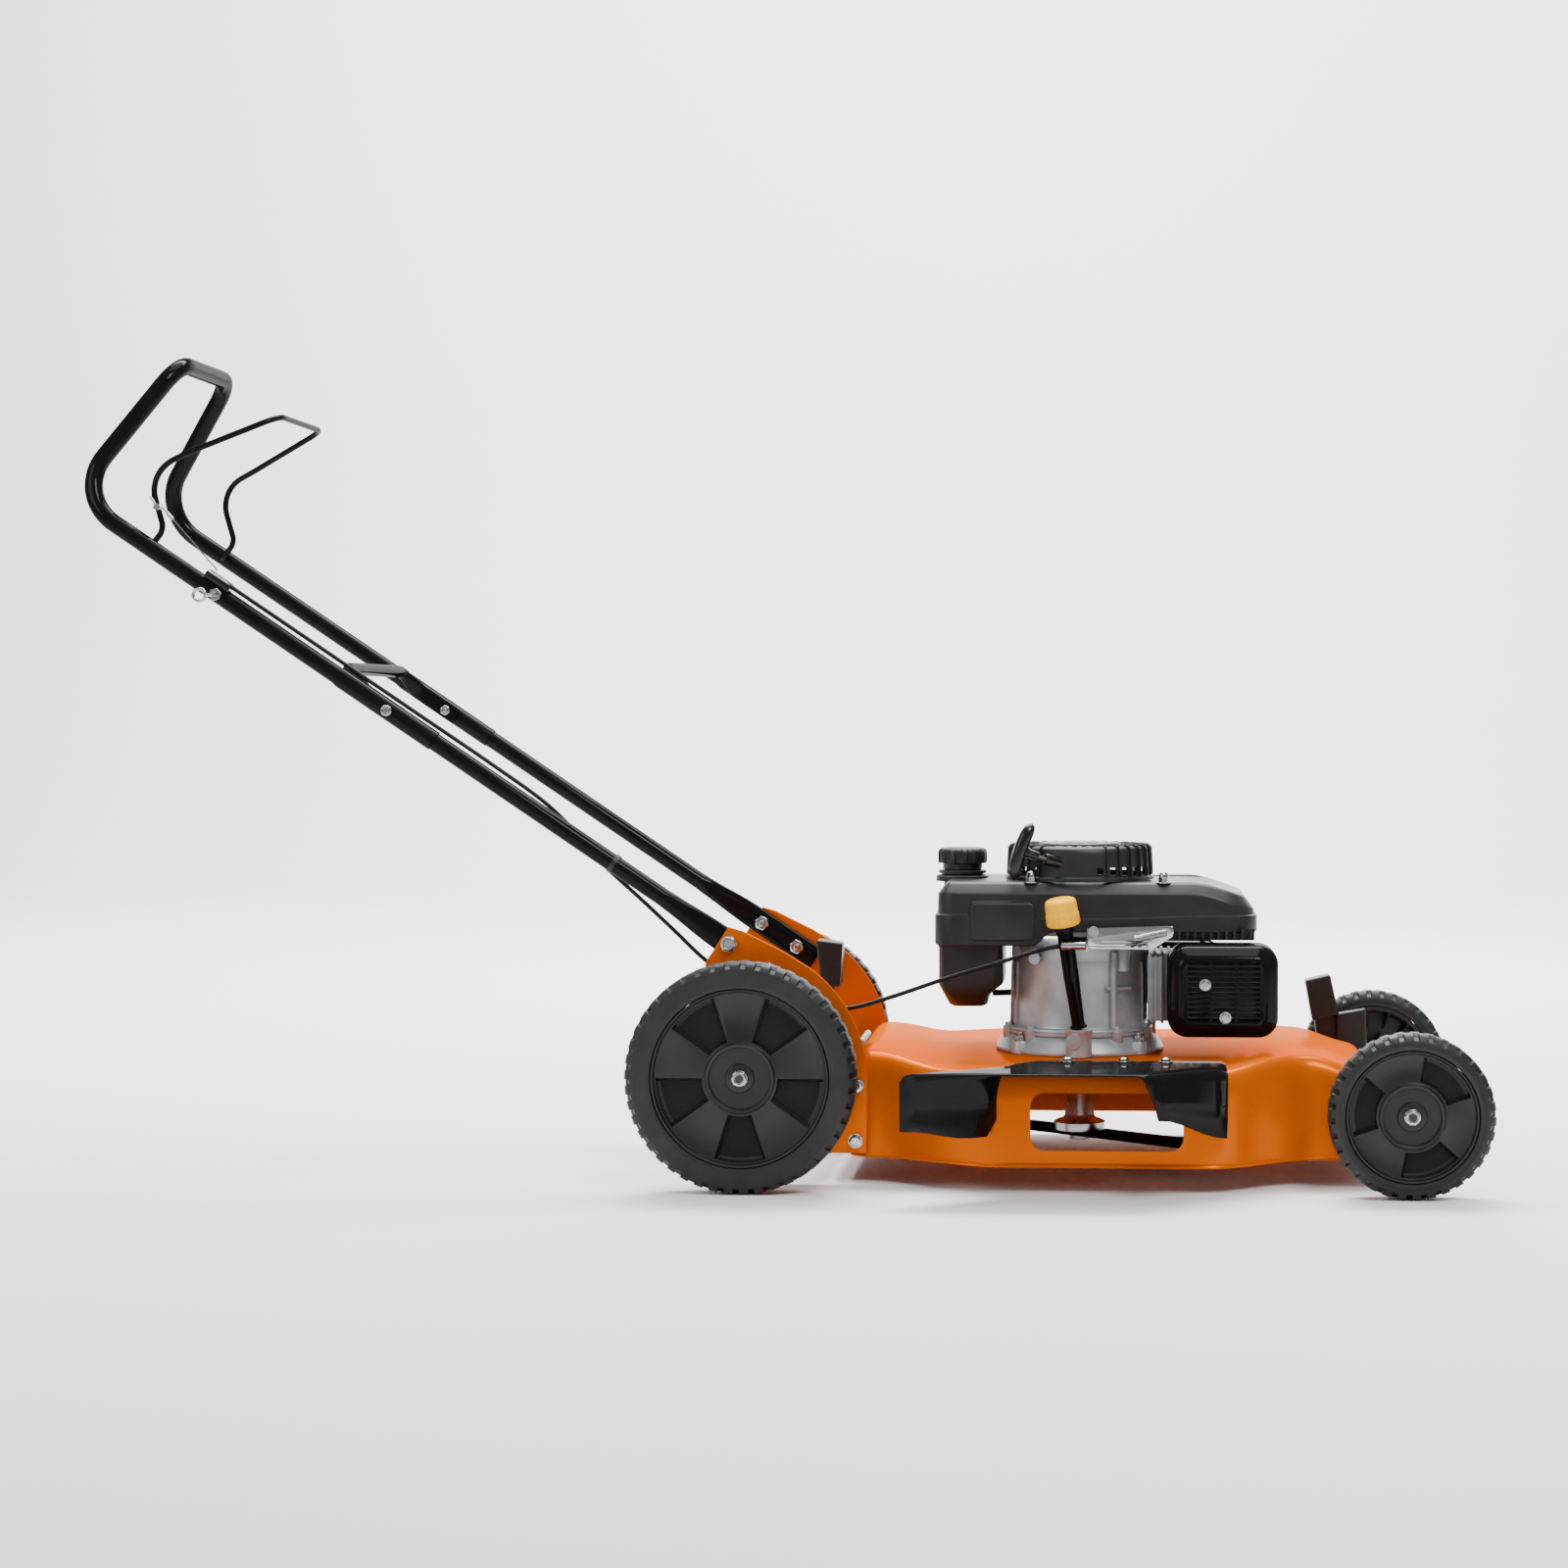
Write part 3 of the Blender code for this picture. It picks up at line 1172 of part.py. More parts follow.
def smooth_route(route, spacing):
    """Evenly spaced points on a Catmull-Rom curve through the route."""
    ends = [route[0] * 2 - route[1]] + route + [route[-1] * 2 - route[-2]]
    fine = []
    for a, b, c, d in zip(ends, ends[1:], ends[2:], ends[3:]):
        square = a * 2 - b * 5 + c * 4 - d
        cube = b * 3 - a - c * 3 + d
        for i in range(20):
            t = i / 20
            fine.append((b * 2 + (c - a) * t + square * t * t + cube * t**3) / 2)
    fine.append(route[-1])
    length = sum((b - a).length for a, b in zip(fine, fine[1:]))
    count = round(length / spacing)
    points, travelled, index = [fine[0]], 0.0, 0
    for k in range(1, count):
        goal = length * k / count
        while travelled + (fine[index + 1] - fine[index]).length < goal:
            travelled += (fine[index + 1] - fine[index]).length
            index += 1
        step = fine[index + 1] - fine[index]
        points.append(fine[index] + step * ((goal - travelled) / step.length))
    return points + [fine[-1]]


def make_cable_bracket(machine):
    """Moulded clip on top of the tube that ends the sheath."""
    x = CABLE_ON_TUBE[0][0]
    rings = []
    for px in (x - 0.0300, x - GAP):
        ring = []
        for turn, distance in ((-40, 0.0122), (-28, 0.0210), (28, 0.0210), (40, 0.0122), (0, 0.0122)):
            ring.append(on_tube(px, -1, turn, distance))
        rings.append(ring)
    add("cable_bracket", rings_mesh(rings), "black_plastic", machine)


def make_brake_spring(machine):
    start = Vector((HOOK_X + 0.0040, CABLE_Y, CABLE_Z + 0.0075))
    end = Vector((0.4738, CABLE_Y, 0.3010))
    add("brake_spring", rod(start, end, 0.0042, 10), "zinc_steel", machine)


# ---------------------------------------------------------------- the whole machine


def main():
    clear_scene()
    machine = empty("machine", (MIDDLE_X, MIDDLE_Y, 0))
    make_deck(machine)
    make_side_plate("right_side_plate", -1, machine)
    make_side_plate("left_side_plate", 1, machine)
    make_flap(machine)
    make_stay_pin(machine)
    make_chute(machine)
    make_running_gear(machine)
    make_lower_handle("right_lower_handle", -1, machine)
    make_lower_handle("left_lower_handle", 1, machine)
    make_upper_handle(machine)
    make_cross_brace(machine)
    make_handle_fasteners(machine)
    make_rope_guide(machine)
    make_bail(machine)
    make_crankcase(machine)
    make_cylinder(machine)
    make_intake(machine)
    make_exhaust(machine)
    make_blower_housing(machine)
    make_recoil(machine)
    make_fuel(machine)
    make_oil_filler(machine)
    make_rotor(machine)
    make_brake(machine)
    make_control_cable(machine)
    make_brake_spring(machine)


main()
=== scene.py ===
"""Studio scene of the petrol rotary mower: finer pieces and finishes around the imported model.

Shapes are written in the machine's own coordinates, in metres, with y = 0 on its centre plane,
and every piece is then moved by SHIFT into the row frame. Points inside mm("...") are in
millimetres.
"""

import math

import bmesh
import bpy
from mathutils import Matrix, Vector


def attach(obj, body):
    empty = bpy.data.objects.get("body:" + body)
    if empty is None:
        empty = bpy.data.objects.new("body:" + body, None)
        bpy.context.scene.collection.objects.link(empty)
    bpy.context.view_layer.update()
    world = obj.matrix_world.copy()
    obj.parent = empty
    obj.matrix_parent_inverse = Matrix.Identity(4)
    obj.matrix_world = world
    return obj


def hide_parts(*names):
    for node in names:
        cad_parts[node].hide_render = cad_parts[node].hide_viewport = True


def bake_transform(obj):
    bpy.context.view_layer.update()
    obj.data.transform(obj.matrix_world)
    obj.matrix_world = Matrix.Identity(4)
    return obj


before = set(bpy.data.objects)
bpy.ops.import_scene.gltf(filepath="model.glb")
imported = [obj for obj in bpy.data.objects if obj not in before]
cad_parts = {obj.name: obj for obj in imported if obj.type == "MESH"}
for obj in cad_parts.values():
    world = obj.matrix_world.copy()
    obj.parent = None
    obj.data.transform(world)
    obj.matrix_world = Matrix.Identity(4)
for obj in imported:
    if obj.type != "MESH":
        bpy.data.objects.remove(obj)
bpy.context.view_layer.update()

CHASSIS = "chassis"
SHIFT = Vector((0.002, 0.02505, 0.0))
SIDES = ((-1, "right"), (1, "left"))
GAP = 0.0003  # left between pieces that would otherwise touch
SHARP = 38.0  # degrees between faces above which an edge stays sharp
CAD_SHARP = math.radians(40)
MERGE, CAD_MERGE = 1e-7, 0.00002  # vertices nearer than this are one

WHEEL_OUTER_Y = 0.285
REAR_WHEEL = (-0.0345, 0.1368)
FRONT_WHEEL = (0.751, 0.097)
CRANK_REACH = 0.045 * math.cos(math.radians(30))  # from a wheel's centre to its crank's pivot, along x
REAR_PIVOT = (REAR_WHEEL[0] + CRANK_REACH, 0.1143)
FRONT_PIVOT = (FRONT_WHEEL[0] - CRANK_REACH, 0.0745)
AXLE_HOLE_R, ARM_END_R = 0.0075, 0.011
CRANK_X = 0.3625
DECK_BOTTOM, DECK_TOP, DECK_WALL = 0.031, 0.144, 0.0018
PLATE_Y, PLATE_T = 0.1805, 0.003
TUBE_R, SLEEVE_R, TUBE_Y = 0.011, 0.01235, 0.168
HANDLE_SLOPE, HANDLE_Z0 = 0.675, 0.2482  # fall towards the front, and height at x = 0
HANDLE_TILT = math.atan(HANDLE_SLOPE)
BAIL_PIVOT_X = -0.7735


# ---------------------------------------------------------------- finishes


def node(tree, kind, inputs, **settings):
    """Adds a shader node and gives its outputs; an input is a value or another node's output."""
    made = tree.nodes.new(kind)
    for key, value in settings.items():
        setattr(made, key, value)
    fill(made, inputs)
    return made.outputs


def fill(made, inputs):
    """Sets or links a node's inputs by name."""
    for socket, value in inputs.items():
        if isinstance(value, bpy.types.NodeSocket):
            made.id_data.links.new(value, made.inputs[socket])
        else:
            made.inputs[socket].default_value = value


def ramp(tree, source, low, high, start, end):
    """Maps a value between two stops to the range low to high."""
    stops = {"Value": source, "From Min": start, "From Max": end, "To Min": low, "To Max": high}
    return node(tree, "ShaderNodeMapRange", stops)["Result"]


def noise(tree, scale, detail):
    place = node(tree, "ShaderNodeTexCoord", {})["Object"]
    inputs = {"Vector": place, "Scale": scale, "Detail": detail, "Roughness": 0.55}
    return node(tree, "ShaderNodeTexNoise", inputs)["Fac"]


def mixed(tree, first, second, share):
    """One colour giving way to another by a share from 0 to 1."""
    return node(tree, "ShaderNodeMix", {"A": first, "B": second, "Factor": share}, data_type="RGBA")["Result"]


DUST_COLOUR = (0.36, 0.34, 0.31, 1.0)
COAT_ROUGHNESS = 0.06
BUMP_STRENGTH = 0.6
LEAST_ROUGHNESS = 0.03


def surface(
    name, rough, colour, second, metal=0.0, coat=0.0, patch=25.0, smudge=0.07, grain=None, specular=0.5,
    dust=0.0, edge=(1.0, 1.0, 1.0),
):
    """A principled finish: patchy colour, uneven gloss, a fine bump and, if asked, dust on what faces up."""
    made = bpy.data.materials.new(name)
    made.use_nodes = True
    tree = made.node_tree
    blotches = ramp(tree, noise(tree, patch, 5.0), 0.0, 1.0, 0.35, 0.7)
    tone = mixed(tree, (*colour, 1.0), (*second, 1.0), blotches)
    if dust:
        normal = node(tree, "ShaderNodeNewGeometry", {})["Normal"]
        facing = node(tree, "ShaderNodeSeparateXYZ", {"Vector": normal})["Z"]
        lift = ramp(tree, facing, 0.0, dust, 0.35, 1.0)
        specks = ramp(tree, noise(tree, 60.0, 6.0), 0.2, 1.0, 0.35, 0.65)
        share = node(tree, "ShaderNodeMath", {0: lift, 1: specks}, operation="MULTIPLY")["Value"]
        tone = mixed(tree, tone, DUST_COLOUR, share)
    shader = tree.nodes["Principled BSDF"]
    gloss = ramp(tree, noise(tree, 14.0, 4.0), max(rough - smudge, LEAST_ROUGHNESS), rough + smudge, 0.3, 0.7)
    fill(
        shader,
        {
            "Base Color": tone, "Roughness": gloss, "Metallic": metal, "Specular IOR Level": specular,
            "Specular Tint": (*edge, 1.0), "Coat Weight": coat, "Coat Roughness": COAT_ROUGHNESS,
        }
    )
    if grain:
        scale, height = grain
        relief = {"Strength": BUMP_STRENGTH, "Distance": height, "Height": noise(tree, scale, 2.0)}
        fill(shader, {"Normal": node(tree, "ShaderNodeBump", relief)["Normal"]})
    return made


LOOKS = {  # finish: roughness, colour, second colour, and what differs from the plain surface
    "orange_enamel": (0.27, (0.6, 0.104, 0.0002), (0.597, 0.103, 0.0002), dict(
        metal=0.32, coat=0.02, patch=3.0, smudge=0.004, grain=(420.0, 0.000006), specular=0.0,
        edge=(0.75, 0.27, 0.0)
    )),
    "black_enamel": (0.22, (0.0045, 0.0045, 0.005), (0.006, 0.006, 0.0065), dict(
        coat=0.17, grain=(320.0, 0.00003), specular=0.0
    )),
    "black_plastic": (0.42, (0.008, 0.008, 0.0085), (0.012, 0.012, 0.0125), dict(
        grain=(2600.0, 0.00006), dust=0.015, specular=0.35
    )),
    "gloss_plastic": (0.22, (0.005, 0.005, 0.0055), (0.008, 0.008, 0.0085), dict(
        grain=(600.0, 0.00003), specular=0.35
    )),
    "wheel_plastic": (0.42, (0.0055, 0.0055, 0.006), (0.009, 0.009, 0.0095), dict(
        grain=(1800.0, 0.00006), patch=18.0, specular=0.35
    )),
    "tyre_rubber": (0.52, (0.007, 0.007, 0.0075), (0.013, 0.0125, 0.012), dict(
        grain=(1400.0, 0.00012), smudge=0.1, specular=0.35
    )),
    "flap_rubber": (0.6, (0.016, 0.016, 0.016), (0.03, 0.029, 0.028), dict(grain=(900.0, 0.0001))),
    "cast_aluminium": (0.4, (0.43, 0.47, 0.485), (0.33, 0.36, 0.37), dict(
        metal=0.55, grain=(900.0, 0.00022), patch=40.0
    )),
    "machined_aluminium": (0.28, (0.72, 0.73, 0.74), (0.6, 0.61, 0.62), dict(
        metal=1.0, grain=(500.0, 0.00004)
    )),
    "zinc_steel": (0.2, (0.47, 0.475, 0.49), (0.4, 0.4, 0.41), dict(metal=1.0, grain=(700.0, 0.00004))),
    "dark_steel": (0.45, (0.035, 0.035, 0.036), (0.06, 0.052, 0.045), dict(
        metal=0.6, grain=(500.0, 0.0001)
    )),
    "chute_enamel": (0.2, (0.0045, 0.0045, 0.005), (0.006, 0.006, 0.0065), dict(
        coat=0.24, specular=0.0, grain=(320.0, 0.00003)
    )),
    "blade_paint": (0.6, (0.006, 0.006, 0.006), (0.01, 0.01, 0.01), dict(
        specular=0.02, grain=(300.0, 0.00005)
    )),
    "grey_pin": (0.4, (0.3, 0.31, 0.32), (0.24, 0.24, 0.25), dict(metal=0.7)),
    "yellow_plastic": (0.34, (1.0, 0.5, 0.0), (0.96, 0.46, 0.0), dict(
        specular=0.05, coat=0.1, grain=(1500.0, 0.00004)
    )),
    "cable_jacket": (0.38, (0.006, 0.006, 0.0065), (0.009, 0.009, 0.009), dict(
        grain=(800.0, 0.00004), specular=0.15
    )),
    # the pockets' floors: a rougher, less glossy plastic, and a darker colour that is painted shade in the
    # recesses
    "pocket_painted_shade": (0.55, (0.004, 0.004, 0.0043), (0.006, 0.006, 0.006), dict(
        specular=0.16, grain=(900.0, 0.0001)
    )),
    "rope_fibre": (0.8, (0.03, 0.03, 0.03), (0.1, 0.1, 0.1), dict(patch=900.0, grain=(900.0, 0.0003))),
}
FINISHES = {name: surface(name, *look[:3], **look[3]) for name, look in LOOKS.items()}


# ---------------------------------------------------------------- pieces


def mm(text):
    """Points written in millimetres, as in mm("20 0, 23.5 1.2"), as tuples in metres."""
    return [tuple(float(number) / 1000 for number in point.split()) for point in text.split(",")]


def link(made):
    """Puts an object in the scene."""
    bpy.context.scene.collection.objects.link(made)
    return made


def mesh_of(bm, sharp=SHARP):
    """Turns a bmesh into a smooth mesh whose edges stay sharp above an angle in degrees."""
    bmesh.ops.remove_doubles(bm, verts=bm.verts, dist=MERGE)
    bmesh.ops.recalc_face_normals(bm, faces=bm.faces)
    mesh = bpy.data.meshes.new("piece")
    bm.to_mesh(mesh)
    bm.free()
    mesh.shade_smooth()
    mesh.set_sharp_from_angle(angle=math.radians(sharp))
    return mesh


def placed(name, mesh, finish, replaces):
    """An object in its place in the row frame, standing for the CAD nodes that it replaces."""
    mesh.materials.append(FINISHES[finish])
    made = link(bpy.data.objects.new(name, mesh))
    made.location = SHIFT
    if replaces:
        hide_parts(*replaces)
    return made


def bevelled(made, width, segments=2, angle=math.radians(SHARP)):
    """Rounds the edges that are sharper than an angle."""
    edge = made.modifiers.new("bevel", "BEVEL")
    edge.width = width
    edge.segments = segments
    edge.limit_method = "ANGLE"
    edge.angle_limit = angle
    return edge


def piece(name, mesh, finish, body=CHASSIS, replaces=(), bevel=0.0, segments=2):
    """Puts a mesh in the scene as one piece on a body."""
    made = placed(name, mesh, finish, replaces)
    if bevel:
        bevelled(made, bevel, segments).harden_normals = True
    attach(made, body)
    return made


def stretched(name, mesh, finish, fixed, moving, replaces=()):
    """Places a flexible piece in the row frame and bakes its placement into its mesh; it is not attached to
    the chassis or to a moving body.
    """
    made = placed(name, mesh, finish, replaces)
    tuple(Vector(fixed) + SHIFT)
    tuple(Vector(moving) + SHIFT)
    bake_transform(made)


def dress(name, finish, bevel=0.0):
    """Gives a CAD node its finish, and smooths its facets."""
    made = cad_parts[name]
    made.data.materials.clear()
    made.data.materials.append(FINISHES[finish])
    made.data.shade_smooth()
    made.modifiers.new("weld", "WELD").merge_threshold = CAD_MERGE
    if bevel:
        bevelled(made, bevel, angle=CAD_SHARP)
    made.modifiers.new("edges", "EDGE_SPLIT").split_angle = CAD_SHARP


def carve(target, mesh, name):
    """Cuts a mesh out of a piece, ahead of the piece's own modifiers, and applies the cut."""
    tool = link(bpy.data.objects.new(name, mesh))
    tool.location = target.matrix_world.translation
    others = list(target.modifiers)
    boolean = target.modifiers.new(name, "BOOLEAN")
    boolean.operation = "DIFFERENCE"
    boolean.solver = "EXACT"
    boolean.object = tool
    for modifier in others:
        modifier.show_viewport = False
    bpy.context.view_layer.update()
    result = bpy.data.meshes.new_from_object(target.evaluated_get(bpy.context.evaluated_depsgraph_get()))
    target.modifiers.remove(boolean)
    for modifier in others:
        modifier.show_viewport = True
    material = target.data.materials[0]
    target.data = result
    result.materials.clear()
    result.materials.append(material)
    result.polygons.foreach_set("material_index", [0] * len(result.polygons))
    result.shade_smooth()
    result.set_sharp_from_angle(angle=math.radians(SHARP))
    bpy.data.objects.remove(tool)


def joined(*meshes):
    """Several meshes as one, each keeping its own closed surface."""
    bm = bmesh.new()
    for mesh in meshes:
        bm.from_mesh(mesh)
    out = bpy.data.meshes.new("piece")
    bm.to_mesh(out)
    bm.free()
    return out


def band(bm, low, high, closed=True):
    """Faces between two rows of vertices."""
    count = len(low)
    for i in range(count if closed else count - 1):
        j = (i + 1) % count
        bm.faces.new((low[i], low[j], high[j], high[i]))


def rows_of(bm, rings):
    """The vertices of each ring."""
    return [[bm.verts.new(point) for point in ring] for ring in rings]


def skin(rings, closed=False, sharp=SHARP):
    """A closed surface through rings of points: capped at both ends, or closed from last to first."""
    bm = bmesh.new()
    rows = rows_of(bm, rings)
    for low, high in zip(rows, rows[1:]):
        band(bm, low, high)
    if closed:
        band(bm, rows[-1], rows[0])
    else:
        bm.faces.new(reversed(rows[0]))
        bm.faces.new(rows[-1])
    return mesh_of(bm, sharp)


def hollow(outer, inner, cap, sharp):
    """A sheet part whose outer rings rise to a top, and whose inner rings come down inside it."""
    bm = bmesh.new()
    rows = rows_of(bm, outer + inner)
    top = len(outer) - 1
    for index, low in enumerate(rows):
        if index != top:
            band(bm, low, rows[(index + 1) % len(rows)])
    for row in (rows[top], rows[top + 1]):
        cap(bm, row)
    return mesh_of(bm, sharp)


def polar(base, angle, side=0):
    """Gives points by reach, offset across and height; with a side, the axis lies along Y."""
    c, s = math.cos(angle), math.sin(angle)
    if side:
        out, across, rise = Vector((c, 0, s)), Vector((-s, 0, c)), Vector((0, side, 0))
    else:
        out, across, rise = Vector((c, s, 0)), Vector((-s, c, 0)), Vector((0, 0, 1))
    return lambda reach, offset, height: Vector(base) + out * reach + across * offset + rise * height


def prism(outline, z0, z1):
    """An upright block with the outline x, y."""
    return skin([[(x, y, z) for x, y in outline] for z in (z0, z1)])


def slab(outline, y0, y1):
    """A block across the machine with the outline x, z."""
    return skin([[(x, y, z) for x, z in outline] for y in (y0, y1)])


def box(low, high):
    corners = [(low[0], low[1]), (high[0], low[1]), (high[0], high[1]), (low[0], high[1])]
    return prism(corners, low[2], high[2])


def square_to(along, hint):
    """Two directions square to a line and to each other, the first also square to the hint."""
    side = along.cross(Vector(hint)).normalized()
    return side, along.cross(side)


def turned(profile, base, direction=(0, 0, 1), sides=48, start=0.0):
    """Rings about a line, for a profile of radius and distance along it."""
    along = Vector(direction).normalized()
    side, up = square_to(along, (0, 0, 1) if abs(along.z) < 0.9 else (0, 1, 0))
    turns = [start + math.tau * i / sides for i in range(sides)]
    rings = []
    for radius, distance in profile:
        centre = Vector(base) + along * distance
        rings.append([centre + side * (radius * math.cos(t)) + up * (radius * math.sin(t)) for t in turns])
    return rings


def solid(profile, base, direction=(0, 0, 1), sides=48, start=0.0):
    """A body turned from a profile that runs from one end to the other."""
    return skin(turned(profile, base, direction, sides, start))


def disc(base, radius, start, end, direction=(0, 0, 1), sides=28, turn=0.0):
    """A round or polygonal plate, bar or nut between two distances along a line."""
    return solid([(radius, start), (radius, end)], base, direction, sides, turn)


def hoop(profile, base, direction=(0, 0, 1), sides=64):
    """A ring turned from a closed profile."""
    return skin(turned(profile, base, direction, sides), closed=True)


def rod(start, end, radius, sides=20):
    direction = Vector(end) - Vector(start)
    return skin(turned([(radius, 0), (radius, direction.length)], start, direction, sides))


def rounded(low, high, radius, steps=8):
    """A rectangle with round corners."""
    points = []
    for x, y, start in (
        (high[0] - radius, high[1] - radius, 0), (low[0] + radius, high[1] - radius, 90),
        (low[0] + radius, low[1] + radius, 180), (high[0] - radius, low[1] + radius, 270),
    ):
        turns = [math.radians(start + 90 * i / steps) for i in range(steps + 1)]
        points += [(x + radius * math.cos(a), y + radius * math.sin(a)) for a in turns]
    return points


def case_rings(levels, low, high, corner, steps=8, shrink=0.0):
    """Rounded rectangles across Y, each at its place along Y and drawn in by its inset."""
    rings = []
    for y, inset in levels:
        near, far = (low[0] + inset, low[1] + inset), (high[0] - inset, high[1] - inset)
        rings.append([(x, y, z) for x, z in rounded(near, far, corner - shrink * inset, steps)])
    return rings


def filleted(points, radii, steps=12):
    """A path through corners, each rounded with its own radius."""
    points = [Vector(p) for p in points]
    path = [points[0]]
    for before, corner, after, radius in zip(points, points[1:], points[2:], radii):
        if radius == 0:
            path.append(corner)
            continue
        a = (before - corner).normalized()
        b = (after - corner).normalized()
        half = a.angle(b) / 2
        centre = corner + (a + b).normalized() * (radius / math.sin(half))
        start = corner + a * (radius / math.tan(half)) - centre
        end = corner + b * (radius / math.tan(half)) - centre
        sweep = start.angle(end)
        for i in range(steps + 1):
            t = i / steps
            spoke = start * math.sin((1 - t) * sweep) + end * math.sin(t * sweep)
            path.append(centre + spoke / math.sin(sweep))
    path.append(points[-1])
    return path


def along_path(path, radii, sides=24, flat=None):
    """Rings across a path; flat gives the half thickness along Y where the section is flattened."""
    rings = []
    side = None
    for i, point in enumerate(path):
        before, after = path[max(i - 1, 0)], path[min(i + 1, len(path) - 1)]
        along = (after - before).normalized()
        if side is None:
            side = Vector((0, 1, 0)) if abs(along.y) < 0.9 else Vector((0, 0, 1))
        side = (side - along * side.dot(along)).normalized()
        up = along.cross(side)
        ring = []
        for k in range(sides):
            angle = math.tau * (k + 0.5) / sides
            c, s = math.cos(angle), math.sin(angle)
            if flat and flat[i]:
                c = squared(c, 0.45) * flat[i]
            else:
                c *= radii[i]
            ring.append(point + side * c + up * (s * radii[i]))
        rings.append(ring)
    return rings


def bar(path, radius, sides=20):
    return skin(along_path(path, [radius] * len(path), sides))


def pipe(path, radii, wall, sides=24, flat=None):
    """A tube with open ends."""
    thin = [f - wall if f else None for f in flat] if flat else None
    outer = along_path(path, radii, sides, flat)
    inner = along_path(path, [r - wall for r in radii], sides, thin)
    return skin(outer + inner[::-1], closed=True)


def spline(route, spacing):
    """Evenly spaced points on a Catmull-Rom curve through the route."""
    route = [Vector(p) for p in route]
    ends = [route[0] * 2 - route[1]] + route + [route[-1] * 2 - route[-2]]
    fine = []
    for a, b, c, d in zip(ends, ends[1:], ends[2:], ends[3:]):
        for i in range(20):
            t = i / 20
            bend, twist = a * 2 - b * 5 + c * 4 - d, b * 3 - a - c * 3 + d
            fine.append((b * 2 + (c - a) * t + bend * t * t + twist * t**3) / 2)
    fine.append(route[-1])
    length = sum((b - a).length for a, b in zip(fine, fine[1:]))
    count = round(length / spacing)
    points, travelled, index = [fine[0]], 0.0, 0
    for k in range(1, count):
        goal = length * k / count
        while travelled + (fine[index + 1] - fine[index]).length < goal:
            travelled += (fine[index + 1] - fine[index]).length
            index += 1
        step = fine[index + 1] - fine[index]
        points.append(fine[index] + step * ((goal - travelled) / step.length))
    return points + [fine[-1]]


def handle_z(x):
    """Height of the handle's straight tubes."""
    return HANDLE_Z0 - HANDLE_SLOPE * x


def on_tube(x, side, degrees, distance):
    """A point at a distance from the handle tube's line, turned inboard from its upper side."""
    turn = math.radians(degrees)
    lift, inboard = distance * math.cos(turn), distance * math.sin(turn)
    rise = Vector((lift * math.sin(HANDLE_TILT), 0, lift * math.cos(HANDLE_TILT)))
    return Vector((x, side * (TUBE_Y - inboard), handle_z(x))) + rise


def smooth_step(x, start, end):
    """Rises smoothly from 0 at the start to 1 at the end."""
    t = min(max((x - start) / (end - start), 0.0), 1.0)
    return t * t * (3 - 2 * t)


# ---------------------------------------------------------------- camera, light and floor

EYE = Vector((0.393, -3.785, 0.573)) + SHIFT
DOWN, LEFT = math.radians(1.46), math.radians(3.11)  # how far the camera is turned
LENS, SENSOR, SIDEWAYS = 69.1, 36.0, -0.1  # focal length and film width in mm, and sideways shift
SKY, SKY_STRENGTH = (0.93, 0.945, 0.96, 1.0), 0.38
LAMPS = (  # name, place, what it points at, size and power
    ("key", (1.5, -2.4, 3.2), (0.2, 0.0, 0.2), 1.3, 105.0),
    ("fill", (-2.6, -2.4, 2.0), (-0.2, 0.0, 0.3), 1.8, 45.0),
    ("top", (0.0, 0.3, 3.4), (0.0, 0.0, 0.2), 2.4, 95.0),
    ("back", (1.2, 3.2, 2.0), (0.2, 0.0, 0.3), 2.2, 35.0),
    ("backdrop", (0.0, 2.2, 5.0), (0.0, 6.4, 0.8), 4.0, 1300.0),
)
PAPER = {"Base Color": (0.86, 0.86, 0.86, 1.0), "Roughness": 0.7}
PAPER_Z = -0.0002  # just under the wheels


def make_camera():
    lens = bpy.data.cameras.new("camera")
    lens.lens = LENS
    lens.sensor_width = SENSOR
    lens.shift_x = SIDEWAYS
    lens.clip_end = 60.0
    camera = link(bpy.data.objects.new("camera", lens))
    camera.location = EYE
    camera.rotation_euler = (math.radians(90) - DOWN, 0.0, LEFT)
    bpy.context.scene.camera = camera


def make_lights():
    world = bpy.data.worlds.new("world")
    world.use_nodes = True
    fill(world.node_tree.nodes["Background"], {"Color": SKY, "Strength": SKY_STRENGTH})
    bpy.context.scene.world = world
    for name, place, target, size, power in LAMPS:
        light = bpy.data.lights.new(name, "AREA")
        light.shape = "SQUARE"
        light.size = size
        light.energy = power
        lamp = link(bpy.data.objects.new(name, light))
        lamp.location = place
        lamp.rotation_euler = (Vector(target) - Vector(place)).to_track_quat("-Z", "Y").to_euler()


def make_floor():
    """A sheet of paper that lies on the ground and sweeps up behind the machine."""
    front, back, wide, high, bend = -6.0, 7.0, 12.0, 7.0, 1.6
    turns = [math.pi * i / 32 for i in range(17)]
    section = [(front, 0.0)]
    section += [(back - bend + bend * math.sin(a), bend - bend * math.cos(a)) for a in turns]
    section.append((back, high))
    bm = bmesh.new()
    rows = rows_of(bm, [[(x, y, z + PAPER_Z) for x in (-wide, wide)] for y, z in section])
    for low, up in zip(rows, rows[1:]):
        band(bm, low, up, closed=False)
    mesh = bpy.data.meshes.new("floor")
    bm.to_mesh(mesh)
    bm.free()
    mesh.shade_smooth()
    paper = bpy.data.materials.new("paper")
    paper.use_nodes = True
    fill(paper.node_tree.nodes["Principled BSDF"], PAPER)
    mesh.materials.append(paper)
    link(bpy.data.objects.new("floor", mesh))


# ---------------------------------------------------------------- deck


def deck_half_width(x):
    wide = 0.072 * smooth_step(x, 0.11, 0.275) * (1 - smooth_step(x, 0.515, 0.645))
    return 0.1795 + wide - 0.004 * smooth_step(x, 0.515, 0.645)


